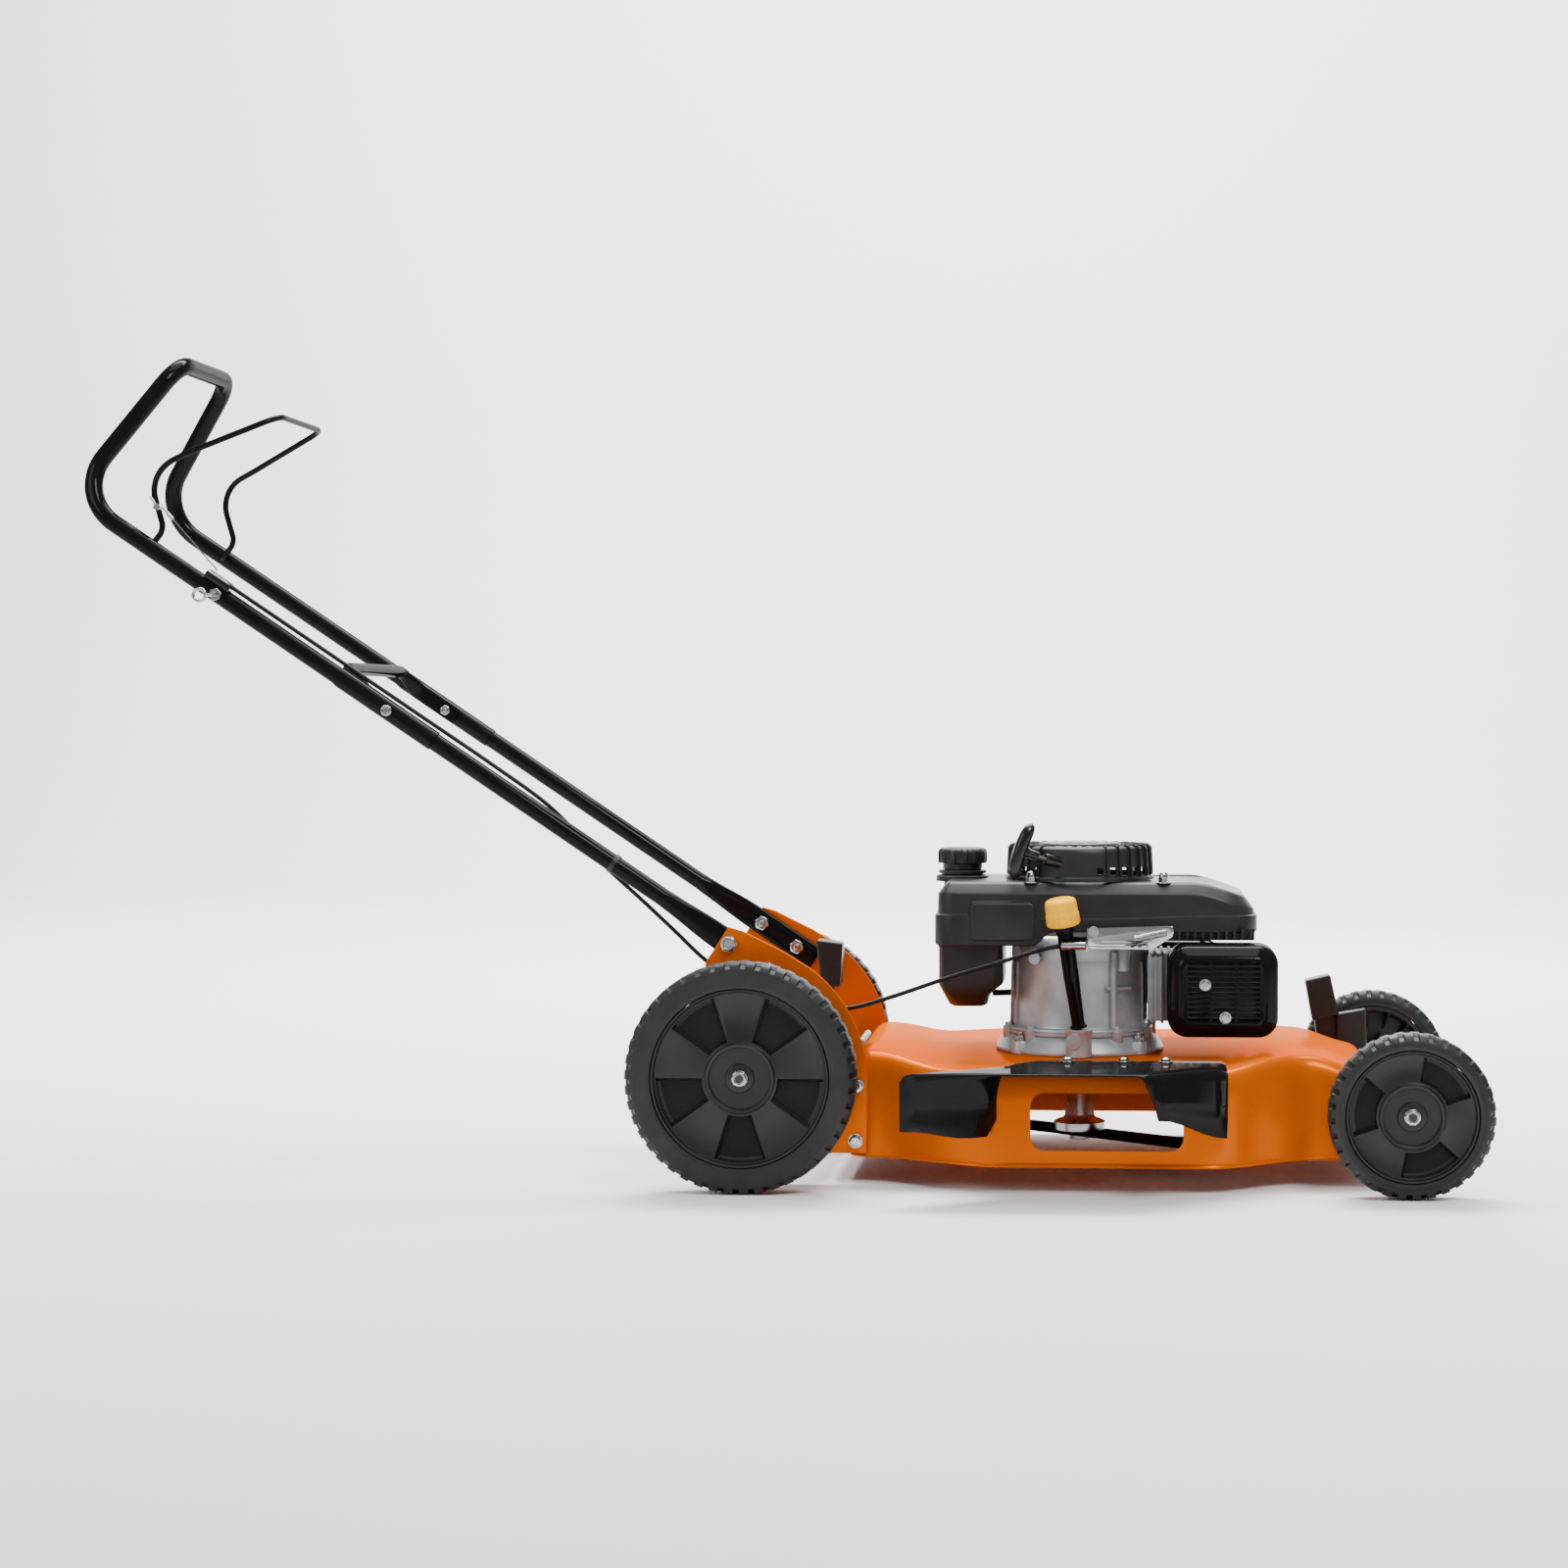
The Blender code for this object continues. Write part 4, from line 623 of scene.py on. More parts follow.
def deck_top(x):
    """Height of the deck: raised at the rear over the flap, and humped before it falls to the front."""
    rear = 0.015 * (1 - smooth_step(x, 0.115, 0.2))
    front = 0.0125 * smooth_step(x, 0.52, 0.605) - 0.02 * smooth_step(x, 0.635, 0.715)
    return DECK_TOP + rear + front


def deck_outline(inset):
    """The deck from above, drawn in by inset: sides that swell round the blade, and round corners."""
    rear, front, corner = 0.088, 0.728, 0.03
    along, round_corner = 59, 8  # how many steps
    run = front - rear - 2 * corner
    stations = [rear + corner + run * i / along for i in range(along + 1)]
    side = [(x, deck_half_width(x) - inset) for x in stations]
    turns = [math.radians(90 * i / round_corner) for i in range(1, round_corner)]
    radius = corner - inset

    def end(tip, hand, edge):
        x, half = tip
        arc = [(x + hand * radius * math.sin(a), half - radius + radius * math.cos(a)) for a in turns]
        return arc + [(edge - hand * inset, half - radius)]

    left = end(side[0], -1, rear)[::-1] + side + end(side[-1], 1, front)
    return [(x, -y) for x, y in left] + left[::-1]


def deck_cap(bm, row):
    """Closes the level top with strips that run from side to side."""
    count = len(row)
    for i in range(count // 2 - 1):
        bm.faces.new((row[i], row[i + 1], row[count - 2 - i], row[count - 1 - i]))


def make_deck():
    shoulder = mm("0 -34, 0.6 -26.5, 2 -20, 4 -12.5, 7 -7, 10.5 -3.6, 14.5 -1.3, 20 0")
    skirt = [
        (-0.0022, DECK_BOTTOM), (-0.003, DECK_BOTTOM + 0.0018), (-0.0022, DECK_BOTTOM + 0.0036),
        (-0.0002, DECK_BOTTOM + 0.005), (0.0, DECK_BOTTOM + 0.009)
    ]
    outer = [[(x, y, z) for x, y in deck_outline(inset)] for inset, z in skirt]
    outer += [[(x, y, deck_top(x) + below) for x, y in deck_outline(inset)] for inset, below in shoulder]
    inner = [
        [(x, y, deck_top(x) + below - DECK_WALL) for x, y in deck_outline(inset + DECK_WALL)]
        for inset, below in shoulder[::-1]
    ]
    inner += [
        [(x, y, DECK_BOTTOM + 0.003) for x, y in deck_outline(DECK_WALL)],
        [(x, y, DECK_BOTTOM) for x, y in deck_outline(0.0006)]
    ]
    shell = hollow(outer, inner, deck_cap, 50)
    deck = piece("deck", shell, "orange_enamel", replaces=["deck_shell"])
    mouth = slab(rounded((0.3065, 0.051), (0.4865, 0.119), 0.016), -0.28, -0.2)
    shaft = rod((CRANK_X, 0, 0.12), (CRANK_X, 0, 0.17), 0.03, 40)
    axle = rod((FRONT_PIVOT[0], -0.2, FRONT_PIVOT[1]), (FRONT_PIVOT[0], 0.2, FRONT_PIVOT[1]), AXLE_HOLE_R)
    carve(deck, joined(mouth, shaft, axle), "deck_holes")


CHUTE_Z, CHUTE_BEND = 0.1495, 0.013  # the top's height, and the radius of its folds
CHUTE_KNEE = 0.486  # the share of its reach where the wings turn to the rear


def chute_section(t):
    """Across the sheet at a share of its reach: a wing, a round fold, the top, a fold and a wing."""
    y = -0.19 - 0.144 * t
    near, past = min(t / CHUTE_KNEE, 1), (t - CHUTE_KNEE) / (1 - CHUTE_KNEE)
    foot = 0.5385 - 0.0825 * past if past > 0 else 0.534 + 0.0045 * near
    rear = 0.258 - 0.1 * past if past > 0 else 0.317 - 0.059 * near
    front = foot - 0.014 * smooth_step(t, 0.4, 1.0)
    drop = smooth_step(-y, 0.225, 0.262)
    front_low = CHUTE_Z - 0.003 - drop * (0.078 - 0.0295 * smooth_step(-y, 0.26, 0.334))
    rear_low = CHUTE_Z - 0.003 - drop * (0.078 - 0.0149 * smooth_step(-y, 0.275, 0.334))

    def fold(middle, start):
        turns = [math.radians(start - 11.25 * k) for k in range(9)]
        lift = CHUTE_BEND * drop
        return [(middle + CHUTE_BEND * math.cos(a), CHUTE_Z - lift + lift * math.sin(a)) for a in turns]

    inner, outer = rear + CHUTE_BEND, front - CHUTE_BEND
    section = [(rear, rear_low), (rear, (rear_low + CHUTE_Z) / 2)] + fold(inner, 180)
    section += [(inner + (outer - inner) * k / 8, CHUTE_Z) for k in range(1, 8)] + fold(outer, 90)
    section += [((front + foot) / 2, (front_low + CHUTE_Z) / 2), (foot, front_low)]
    return [(x, y, z) for x, z in section]


def make_chute():
    bm = bmesh.new()
    rows = rows_of(bm, [chute_section(i / 12) for i in range(13)])
    for low, high in zip(rows, rows[1:]):
        band(bm, low, high, closed=False)
    chute = piece("chute", mesh_of(bm, 60), "chute_enamel", replaces=["discharge_chute"])
    sheet = chute.modifiers.new("thickness", "SOLIDIFY")
    sheet.thickness = 0.0018
    sheet.offset = 0.0
    dome = mm("6.2 0, 6.2 2.6, 4.8 4.2, 2.2 4.8")
    for index, x in enumerate((0.4166, 0.4668, 0.35)):
        head = joined(
            disc((x, -0.202, 0.1506), 0.0085, 0.0, 0.0012, sides=32),
            solid(dome, (x, -0.202, 0.1516), sides=24)
        )
        piece(f"chute_bolt_{index}", head, "zinc_steel", bevel=0.0004)


def make_plates():
    centre, radius = (-0.0592, 0.1235), 0.168
    arc = [math.radians(-2 + 56 * i / 24) for i in range(25)]
    outline = mm("107.8 36, 108.8 90")
    outline += [(centre[0] + radius * math.cos(a), centre[1] + radius * math.sin(a)) for a in arc]
    outline += mm("8 279, -42 303.5, -59 308.5, -87 265.5, -93 170, -80 90, -45 45, 0 36")
    for side, hand in SIDES:
        near, far = sorted((side * PLATE_Y, side * (PLATE_Y + PLATE_T)))
        plate = piece(
            f"side_plate_{hand}", slab(outline, near, far), "orange_enamel", replaces=[f"{hand}_side_plate"],
            bevel=0.0011
        )
        x, z = REAR_PIVOT
        carve(plate, rod((x, near - 0.01, z), (x, far + 0.01, z), AXLE_HOLE_R, 32), "axle_hole")
        for index, (x, z) in enumerate(mm("94.3 50.7, 96 118")):
            seat = (x, side * (PLATE_Y + PLATE_T), z)
            washer = disc(seat, 0.0086, 0.0, 0.001, (0, side, 0), 32)
            stud = disc(seat, 0.003, 0.0, 0.004, (0, side, 0), 20)
            head = joined(washer, nut(seat, side, 0.0008, 0.0072, 0.0048, 0.004), stud)
            piece(f"plate_bolt_{hand}_{index}", head, "zinc_steel")


# ---------------------------------------------------------------- wheels


def tyre_mesh(centre, side, radius, width, rim, lugs):
    """A rubber tyre whose shoulders are cut into lugs on either side of a plain centre rib."""
    outer, inner = WHEEL_OUTER_Y, WHEEL_OUTER_Y - width
    half = [  # radius and depth from the face, then how far a gap between lugs drops and steps in
        (rim, 0.0046, 0, 0), (rim + 0.0012, 0.0022, 0, 0), (rim + 0.0042, 0.001, 0, 0),
        (rim + 0.008, 0.0014, 0, 0), (radius - 0.0125, 0.0002, 0, 0), (radius - 0.0092, 0.0004, 0, 0),
        (radius - 0.0072, 0.0012, 0, 0.0004), (radius - 0.0034, 0.0022, 0.004, 0.0022),
        (radius - 0.0006, 0.0058, 0.0052, 0.0012), (radius, 0.0085, 0.0048, 0), (radius, 0.015, 0.0042, 0),
        (radius - 0.001, 0.0162, 0.001, 0), (radius - 0.001, 0.0178, 0, 0), (radius, 0.0186, 0, 0),
    ]
    rings = []
    for index in range(lugs):
        for share in (0.0, 0.56, 0.62, 0.94):
            ring = []
            for rows, face, hand, stagger in ((half, outer, -1, 0.0), (half[::-1], inner, 1, 0.5)):
                for r, depth, drop, step in rows:
                    phase = share + (stagger if depth < 0.017 else 0.0)
                    turn = math.tau * (index + phase) / lugs + math.pi / 2
                    gap = 1 if share > 0.6 else 0
                    reach, y = r - drop * gap, face + hand * (depth + step * gap)
                    ring.append(
                        (centre[0] + reach * math.cos(turn), side * y, centre[1] + reach * math.sin(turn))
                    )
            rings.append(ring)
    return skin(rings, closed=True)


HUB_SUNK = 0.0085  # from the tyre's outer side to the hub's face
POCKET_LEAN = 0.0042  # how far a pocket's walls lean in towards its floor
HUB_BACK, RIB_HALF = 0.0098, 0.0012  # from the hub's face to its ribs, and their half thickness


def hub_mesh(centre, side, width, rim, boss):
    outer, inner = WHEEL_OUTER_Y, WHEEL_OUTER_Y - width
    face = outer - HUB_SUNK
    edge = rim - GAP
    profile = [
        (0.0068, 0.2222), (0.0165, 0.2222), (0.018, 0.2235), (0.02, face - 0.01),
        (edge - 0.0115, face - 0.01), (edge - 0.006, inner + 0.006), (edge - 0.0052, inner + 0.004),
        (edge, inner + 0.004), (edge, outer - 0.0038), (edge - 0.0006, outer - 0.0032),
        (edge - 0.0026, outer - 0.0032), (edge - 0.0034, outer - 0.0042), (edge - 0.0042, face + 0.0004),
        (edge - 0.005, face), (boss + 0.0012, face), (boss, face + 0.0008), (boss - 0.0004, outer - 0.0062),
        (boss - 0.0014, outer - 0.0054), (boss - 0.0036, outer - 0.0054), (boss - 0.0048, outer - 0.0062),
        (boss - 0.0056, face - 0.0014), (0.0175, face - 0.0018), (0.0165, face + 0.0004),
        (0.0155, face + 0.0008), (0.0068, face + 0.0008),
    ]
    return hoop(profile, (centre[0], 0, centre[1]), (0, side, 0), 96)


def sector(low, high, near, far, lean, sink=0.0):
    """A ring sector as radius and angle, with its straight walls drawn in by lean."""
    outline = []
    for radius, shift, steps in ((far, 0.0, range(15)), (near, sink, range(14, -1, -1))):
        inset = lean / radius
        outline += [(radius + shift, low + inset + (high - low - 2 * inset) * i / 14) for i in steps]
    return outline


def make_wheel(name, side, centre, radius, width, rim, boss, sectors, span, lugs, rim_ribs):
    """A tyre, a dished hub with sector pockets, the pockets' floors, darker with painted shade, and the ribs
    behind.
    """
    body = f"{name}_wheel"
    base = (centre[0], 0, centre[1])
    face, inner = WHEEL_OUTER_Y - HUB_SUNK, WHEEL_OUTER_Y - width
    tread = tyre_mesh(centre, side, radius, width, rim, lugs)
    tyre = piece(f"{name}_tyre_fine", tread, "tyre_rubber", body, [f"{name}_tyre"])
    bevelled(tyre, 0.0004, 1)
    dish = hub_mesh(centre, side, width, rim, boss)
    hub = piece(f"{name}_hub_fine", dish, "wheel_plastic", body, [f"{name}_hub"], bevel=0.0009, segments=3)
    half = math.radians(span / 2)

    def pocket(degrees, levels, near, far):
        low, high = math.radians(degrees) - half, math.radians(degrees) + half
        rings = []
        for y, *lean in levels:
            outline = sector(low, high, near, far, *lean)
            rings.append([polar(base, a, side)(r, 0, y) for r, a in outline])
        return skin(rings)

    def ribs(count, phase, corners):
        for i in range(count):
            at = polar(base, math.tau * (i + phase) / count, side)
            yield skin([[at(r, t, y) for r, y in corners] for t in (-RIB_HALF, RIB_HALF)])

    cut = ((face - 0.0085, POCKET_LEAN, POCKET_LEAN * 0.3), (face, 0.0), (face + 0.02, 0.0))
    floor = ((face - 0.0095, POCKET_LEAN), (face - 0.0083, POCKET_LEAN))
    carve(hub, joined(*(pocket(a, cut, boss + 0.003, rim - 0.0062) for a in sectors)), "sectors")
    floors = joined(*(pocket(a, floor, boss + 0.0045, rim - 0.011) for a in sectors))
    # the floors get the darker finish: painted shade in the pockets
    piece(f"{name}_pockets", floors, "pocket_painted_shade", body)
    back, foot = face - HUB_BACK, inner + 0.0062
    outer_rib = ((rim - 0.03, back), (rim - 0.004, back), (rim - 0.004, foot), (rim - 0.01, foot))
    inner_rib = ((0.017, back), (rim - 0.034, back), (0.019, 0.229), (0.017, 0.229))
    spokes = joined(*ribs(rim_ribs, 0, outer_rib), *ribs(6, 0.25, inner_rib))
    piece(f"{name}_hub_ribs", spokes, "wheel_plastic", body)


def crank_arm(pivot, wheel, y0, y1):
    """A flat arm with round ends about the pivot and the wheel's centre."""
    angle = math.atan2(wheel[1] - pivot[1], wheel[0] - pivot[0])
    outline = []
    for (x, z), facing in ((wheel, angle), (pivot, angle + math.pi)):
        turns = [facing + math.radians(a) for a in range(-90, 91, 12)]
        outline += [(x + ARM_END_R * math.cos(a), z + ARM_END_R * math.sin(a)) for a in turns]
    return slab(outline, *sorted((y0, y1)))


def make_axle(name, pivot, wheel, arm_y):
    x, z = pivot
    base = (wheel[0], 0, wheel[1])
    parts = [rod((x, -arm_y, z), (x, arm_y, z), 0.006, 32)]
    for side in (-1, 1):
        out = (0, side, 0)
        parts += [
            crank_arm(pivot, wheel, side * (arm_y - 0.0005), side * (arm_y + 0.0055)),
            disc(base, 0.01, arm_y + 0.004, 0.2215, out, 32),
            solid(mm("6.2 221, 6.2 279, 5.2 279.6"), base, out, 28),
            disc(base, 0.0096, 0.2768, 0.2784, out, 40), nut(base, side, 0.2781, 0.0082, 0.0062, 0.0058),
        ]
        end = solid(mm("4.8 280, 4.8 283.8, 4 284.6"), base, out, 24)
        piece(f"{name}_stud_{side}", end, "dark_steel", name)
    piece(f"{name}_fine", joined(*parts), "zinc_steel", name, [name], bevel=0.0006)


def nut(base, side, start, across, height, bore, turn=0.3):
    """A hexagon along Y with its corners turned down to a cone, and a recess round the stud."""
    rings = [[], [], [], [], []]
    for i in range(48):
        a = math.tau * i / 48
        reach = across / math.cos((a + math.pi / 6) % (math.pi / 3) - math.pi / 6)
        levels = (
            (reach, start), (reach, start + height - (reach - across * 0.94) * 0.6),
            (across * 0.93, start + height), (bore, start + height), (bore, start + height - 0.002),
        )
        for ring, (r, y) in zip(rings, levels):
            ring.append(Vector(base) + Vector((r * math.cos(a + turn), side * y, r * math.sin(a + turn))))
    return skin(rings)


WHEELS = {  # centre, radius, width, rim and boss radii, pocket angles, their span, lugs and rim ribs
    "rear": (REAR_WHEEL, 0.1368, 0.047, 0.1055, 0.0417, (270, 342, 54, 126, 198), 36, 46, 20),
    "front": (FRONT_WHEEL, 0.097, 0.043, 0.0775, 0.0388, (169, 289, 49), 60, 34, 15),
}


def make_running_gear():
    for side, hand in SIDES:
        for end, sizes in WHEELS.items():
            make_wheel(f"{end}_{hand}", side, *sizes)
    make_axle("rear_axle", REAR_PIVOT, REAR_WHEEL, 0.198)
    make_axle("front_axle", FRONT_PIVOT, FRONT_WHEEL, 0.211)


# ---------------------------------------------------------------- handle


HANDLE_SPLIT = -0.4197  # where the upper handle slides over the lower tubes
FLAT_FROM, FLAT_OVER = -0.14, 0.07  # where the lower tubes start to flatten, and over what length


def mirrored(half):
    """Corners of a bar that crosses from the right side to the left, from its left half."""
    return [(x, -y, z) for x, y, z in half] + half[::-1]


def lower_tube(side):
    """A tube that narrows into the upper handle, and is flattened where the side plate holds it."""
    stations = [  # x, shift outboard, half height, and half width where it is flattened
        (-0.5, 0.0, 0.0098, None), (-0.4192, 0.0, 0.0098, None), (-0.419, 0.0, 0.0108, None),
        (-0.418, 0.0, TUBE_R, None), (-0.27, 0.0, TUBE_R, None), (FLAT_FROM, 0.0, TUBE_R, None),
    ]
    for i in range(1, 13):
        ease = smooth_step(i / 12, 0.0, 1.0)
        x = FLAT_FROM + FLAT_OVER * i / 12
        stations.append((x, 0.0086 * ease, TUBE_R + 0.0045 * ease, 0.0108 - 0.0073 * ease))
    stations.append((0.012, 0.0086, 0.0155, 0.0035))
    path = [Vector((x, side * (TUBE_Y + out), handle_z(x))) for x, out, _, _ in stations]
    return pipe(path, [s[2] for s in stations], 0.0014, 28, [s[3] for s in stations])


def upper_tube():
    """The bent handle, whose straight ends are sleeves over the lower tubes."""
    start = -0.5335
    straight = [(x, TUBE_Y, handle_z(x)) for x in (HANDLE_SPLIT, start, start - 0.006)]
    corners = mirrored(straight + mm("-864.6 166 831.8, -750 104.5 998"))
    path = filleted(corners, [0.0, 0.0, 0.061, 0.045, 0.045, 0.061, 0.0, 0.0], 18)
    path = [p for i, p in enumerate(path) if i == 0 or (p - path[i - 1]).length > 1e-6]
    radii = [SLEEVE_R if abs(p.x - HANDLE_SPLIT) < 0.115 else TUBE_R for p in path]
    return pipe(path, radii, 0.0022, 28)


def brace():
    """A rod across the handle with flattened ends."""
    y = 0.152
    half = [(-0.462, y, handle_z(-0.462)), (-0.51, y, handle_z(-0.51)), (-0.533, y - 0.012, 0.62)]
    path = filleted(mirrored(half), [0.03, 0.016, 0.016, 0.03])
    flat = [0.002 if abs(p.y) > y - 0.0065 else None for p in path]
    return skin(along_path(path, [0.0105 if f else 0.008 for f in flat], 24, flat))


def make_handle():
    for side, hand in SIDES:
        piece(f"lower_tube_{hand}", lower_tube(side), "black_enamel", replaces=[f"{hand}_lower_handle"])
    piece("upper_tube", upper_tube(), "black_enamel", replaces=["upper_handle"])
    piece("brace_fine", brace(), "black_enamel", replaces=["cross_brace"])


def make_bail():
    pivot = [(BAIL_PIVOT_X, y, handle_z(BAIL_PIVOT_X)) for y in (0.164, 0.15)]
    corners = mirrored(pivot + mm("-757 150 790.5, -776.5 150 860, -730 146 884, -627 100 933"))
    radii = [0.005, 0.02, 0.042, 0.045, 0.03]
    wire = bar(filleted(corners, radii + radii[::-1]), 0.00375)
    piece("bail_fine", wire, "black_enamel", "brake_bail", ["brake_bail"])


# ---------------------------------------------------------------- engine


FLANGE_BOLTS, FLANGE_R = (222, 318, 42, 138), 0.0975  # degrees round the shaft, and radius
# ends of the oil filler's centre line
OIL_FOOT = Vector((0.3625, -0.1035, 0.179))
OIL_TOP = Vector((0.344, -0.1215, 0.307))


def flange_spot(degrees):
    """A flange bolt's place."""
    a = math.radians(degrees)
    return Vector((CRANK_X + FLANGE_R * math.cos(a), FLANGE_R * math.sin(a), 0))


def make_crankcase():
    base = (CRANK_X, 0, 0)
    profile = mm(
        "20 144.3, 104 144.3, 105 145.3, 105 148.3, 104 149.5, 98.5 159, 93 163.2, 89.5 165.6, 88.5 166.4,"
        "90.5 166.8, 91 167.4, 91 170.2, 90 170.8, 90 171.2, 91 171.8, 91 174.2, 90.5 175, 85.8 176.6,"
        "84.8 180, 84.2 256, 85 259, 85.5 261, 85.5 275.5, 84.5 276.5, 20 276.5"
    )
    case = [hoop(profile, base, sides=96)]
    lug, bolt = mm("6.8 156, 7.6 160, 7.6 173.5, 6.6 174.5"), mm("5.2 174, 5.2 178.2, 4.6 179")
    for i in range(10):
        a = math.tau * (i + 0.35) / 10
        spot = polar(base, a)(0.0905, 0, 0)
        case += [solid(lug, spot, sides=20), solid(bolt, spot, sides=6, start=a)]
    rib = mm("83 177, 88 177, 86.6 250, 85.2 256, 83 256")
    for i in range(22):
        a = math.tau * (i + 0.5) / 22
        if math.cos(a) <= 0.93 and math.sin(a) >= -0.5:
            at = polar(base, a)
            case.append(skin([[at(r, t, z) for r, z in rib] for t in (-0.0011, 0.0011)]))
    for degrees in FLANGE_BOLTS:
        case.append(solid(mm("11.5 144.8, 10.5 158.8, 9.8 160"), flange_spot(degrees), sides=32))
    oil_boss = mm("16.5 145.3, 15.5 160, 15 174, 16.5 176.5, 16.5 178.4")
    case += [
        rod((0.356, -0.1, 0.165), (0.356, -0.1212, 0.165), 0.0092, 36),
        rod((0.356, -0.12, 0.165), (0.356, -0.1224, 0.165), 0.0042, 24),
        solid(mm("5 174, 5 270, 4.2 271.5"), (0.4047, -0.076, 0), sides=24),
        solid(mm("8 248, 8 274, 7 275.5"), (0.4165, -0.074, 0), sides=28),
        rod((0.395, -0.08, 0.2255), (0.4257, -0.064, 0.2255), 0.003, 16),
        rod((0.313, -0.06, 0.263), (0.307, -0.076, 0.263), 0.0075, 28),
        rod((0.29, -0.042, 0.27), (0.284, -0.052, 0.27), 0.006, 24),
        box((0.447, -0.056, 0.186), (0.466, -0.036, 0.264)),
        *(box((x, -0.061, 0.184), (x + 0.0024, -0.05, 0.266)) for x in (0.449, 0.4555, 0.462)),
        solid(oil_boss, (OIL_FOOT.x, OIL_FOOT.y, 0), sides=40),
        box((0.348, -0.104, 0.1453), (0.377, -0.08, 0.175)),
    ]
    piece("crankcase_fine", joined(*case), "cast_aluminium", replaces=["crankcase"], bevel=0.0007)
    for index, degrees in enumerate(FLANGE_BOLTS):
        spot = flange_spot(degrees)
        head = joined(
            disc(spot, 0.0088, 0.1599, 0.1611), solid(mm("6.8 161, 6.8 166, 6 167"), spot, sides=6),
            solid(mm("3.6 166, 3.6 170.6, 3 171.2"), spot, sides=20),
        )
        piece(f"flange_bolt_{index}", head, "zinc_steel", bevel=0.0004)


def make_cooling_teeth():
    """Short ribs under the cowl's edge that break up the warm air leaving the cylinder."""
    ribs = [box((0.472, -0.0905, 0.2875), (0.577, -0.0885, 0.302))]
    for i in range(11):
        x = 0.474 + 0.0096 * i
        ribs.append(box((x, -0.099, 0.2885), (x + 0.0032, -0.09, 0.302)))
    piece("cooling_teeth", joined(*ribs), "black_plastic")


def make_cylinder():
    start, pitch, count = 0.4505, 0.0095, 8
    face = start + pitch * count
    parts = [box((0.45, -0.043, 0.183), (0.527, 0.043, 0.267))]
    fin = rounded((-0.056, 0.1802), (0.056, 0.2698), 0.01, 5)
    for i in range(count):
        parts.append(skin([[(start + pitch * i + d, y, z) for y, z in fin] for d in (0.004, 0.0068)]))
    head = rounded((-0.052, 0.1782), (0.052, 0.2718), 0.01, 5)
    parts.append(skin([[(face + d, y, z) for y, z in head] for d in (0.001, 0.0178)]))
    for z in (0.18, 0.27):
        for k in range(7):
            y = -0.042 + 0.014 * k
            parts.append(box((face - 0.012, y - 0.0012, z - 0.0015), (face + 0.015, y + 0.0012, z + 0.0015)))
    piece("cylinder_fine", joined(*parts), "cast_aluminium", replaces=["cylinder_block"], bevel=0.0005)
    cover = rounded((-0.04, 0.185), (0.04, 0.265), 0.014, 8)
    middle, x = 0.225, face + 0.018 + GAP
    levels = ((0, 1), (2.5, 1), (2.5, 0.95), (12.5, 0.95), (16.5, 0.92), (18.5, 0.86), (19, 0.8))
    rings = [[(x + d / 1000, y * k, middle + (z - middle) * k) for y, z in cover] for d, k in levels]
    piece("rocker_cover_fine", skin(rings), "black_enamel", replaces=["rocker_cover"])
    base = (face + 0.009, 0.052 + GAP, middle)
    plug = solid(mm("8.5 0, 8.5 8, 5 9.5, 4.8 21"), base, (0, 1, 0), 24)
    piece("plug_body", plug, "machined_aluminium", replaces=["spark_plug"])
    boot = solid(mm("6.8 15, 8 17, 8 22, 9.2 24, 9.2 40, 7.8 43.8"), base, (0, 1, 0), 24)
    piece("plug_boot", boot, "gloss_plastic")
    route = mm("535.5 90 229, 529.5 98.5 250, 518 99 275, 512 90 292")
    piece("plug_lead", bar(spline(route, 0.004), 0.0032, 14), "cable_jacket")


def make_intake():
    body = prism(rounded((0.465, 0.0565), (0.505, 0.106), 0.008), 0.202, 0.245)
    bowl = solid(mm("12 187, 15 190, 15 203"), (0.485, 0.082, 0), sides=32)
    lever = box((0.47, 0.07, 0.2448), (0.5, 0.076, 0.2475))
    float_chamber = joined(body, bowl, lever)
    piece("carburettor_fine", float_chamber, "cast_aluminium", replaces=["carburettor"], bevel=0.0008)
    levels = mm("106.6 3, 109 0, 127 0, 127.5 -1.6, 130 -1.6, 130.6 0, 146 0.5, 150 3, 151.8 7, 152 12")
    shell = skin(case_rings(levels, (0.43, 0.19), (0.54, 0.27), 0.016))
    ribs = [box((0.452 + 0.012 * k, 0.15, 0.206), (0.4555 + 0.012 * k, 0.1535, 0.254)) for k in range(6)]
    piece("air_cleaner_fine", joined(shell, *ribs), "black_plastic", replaces=["air_cleaner"])


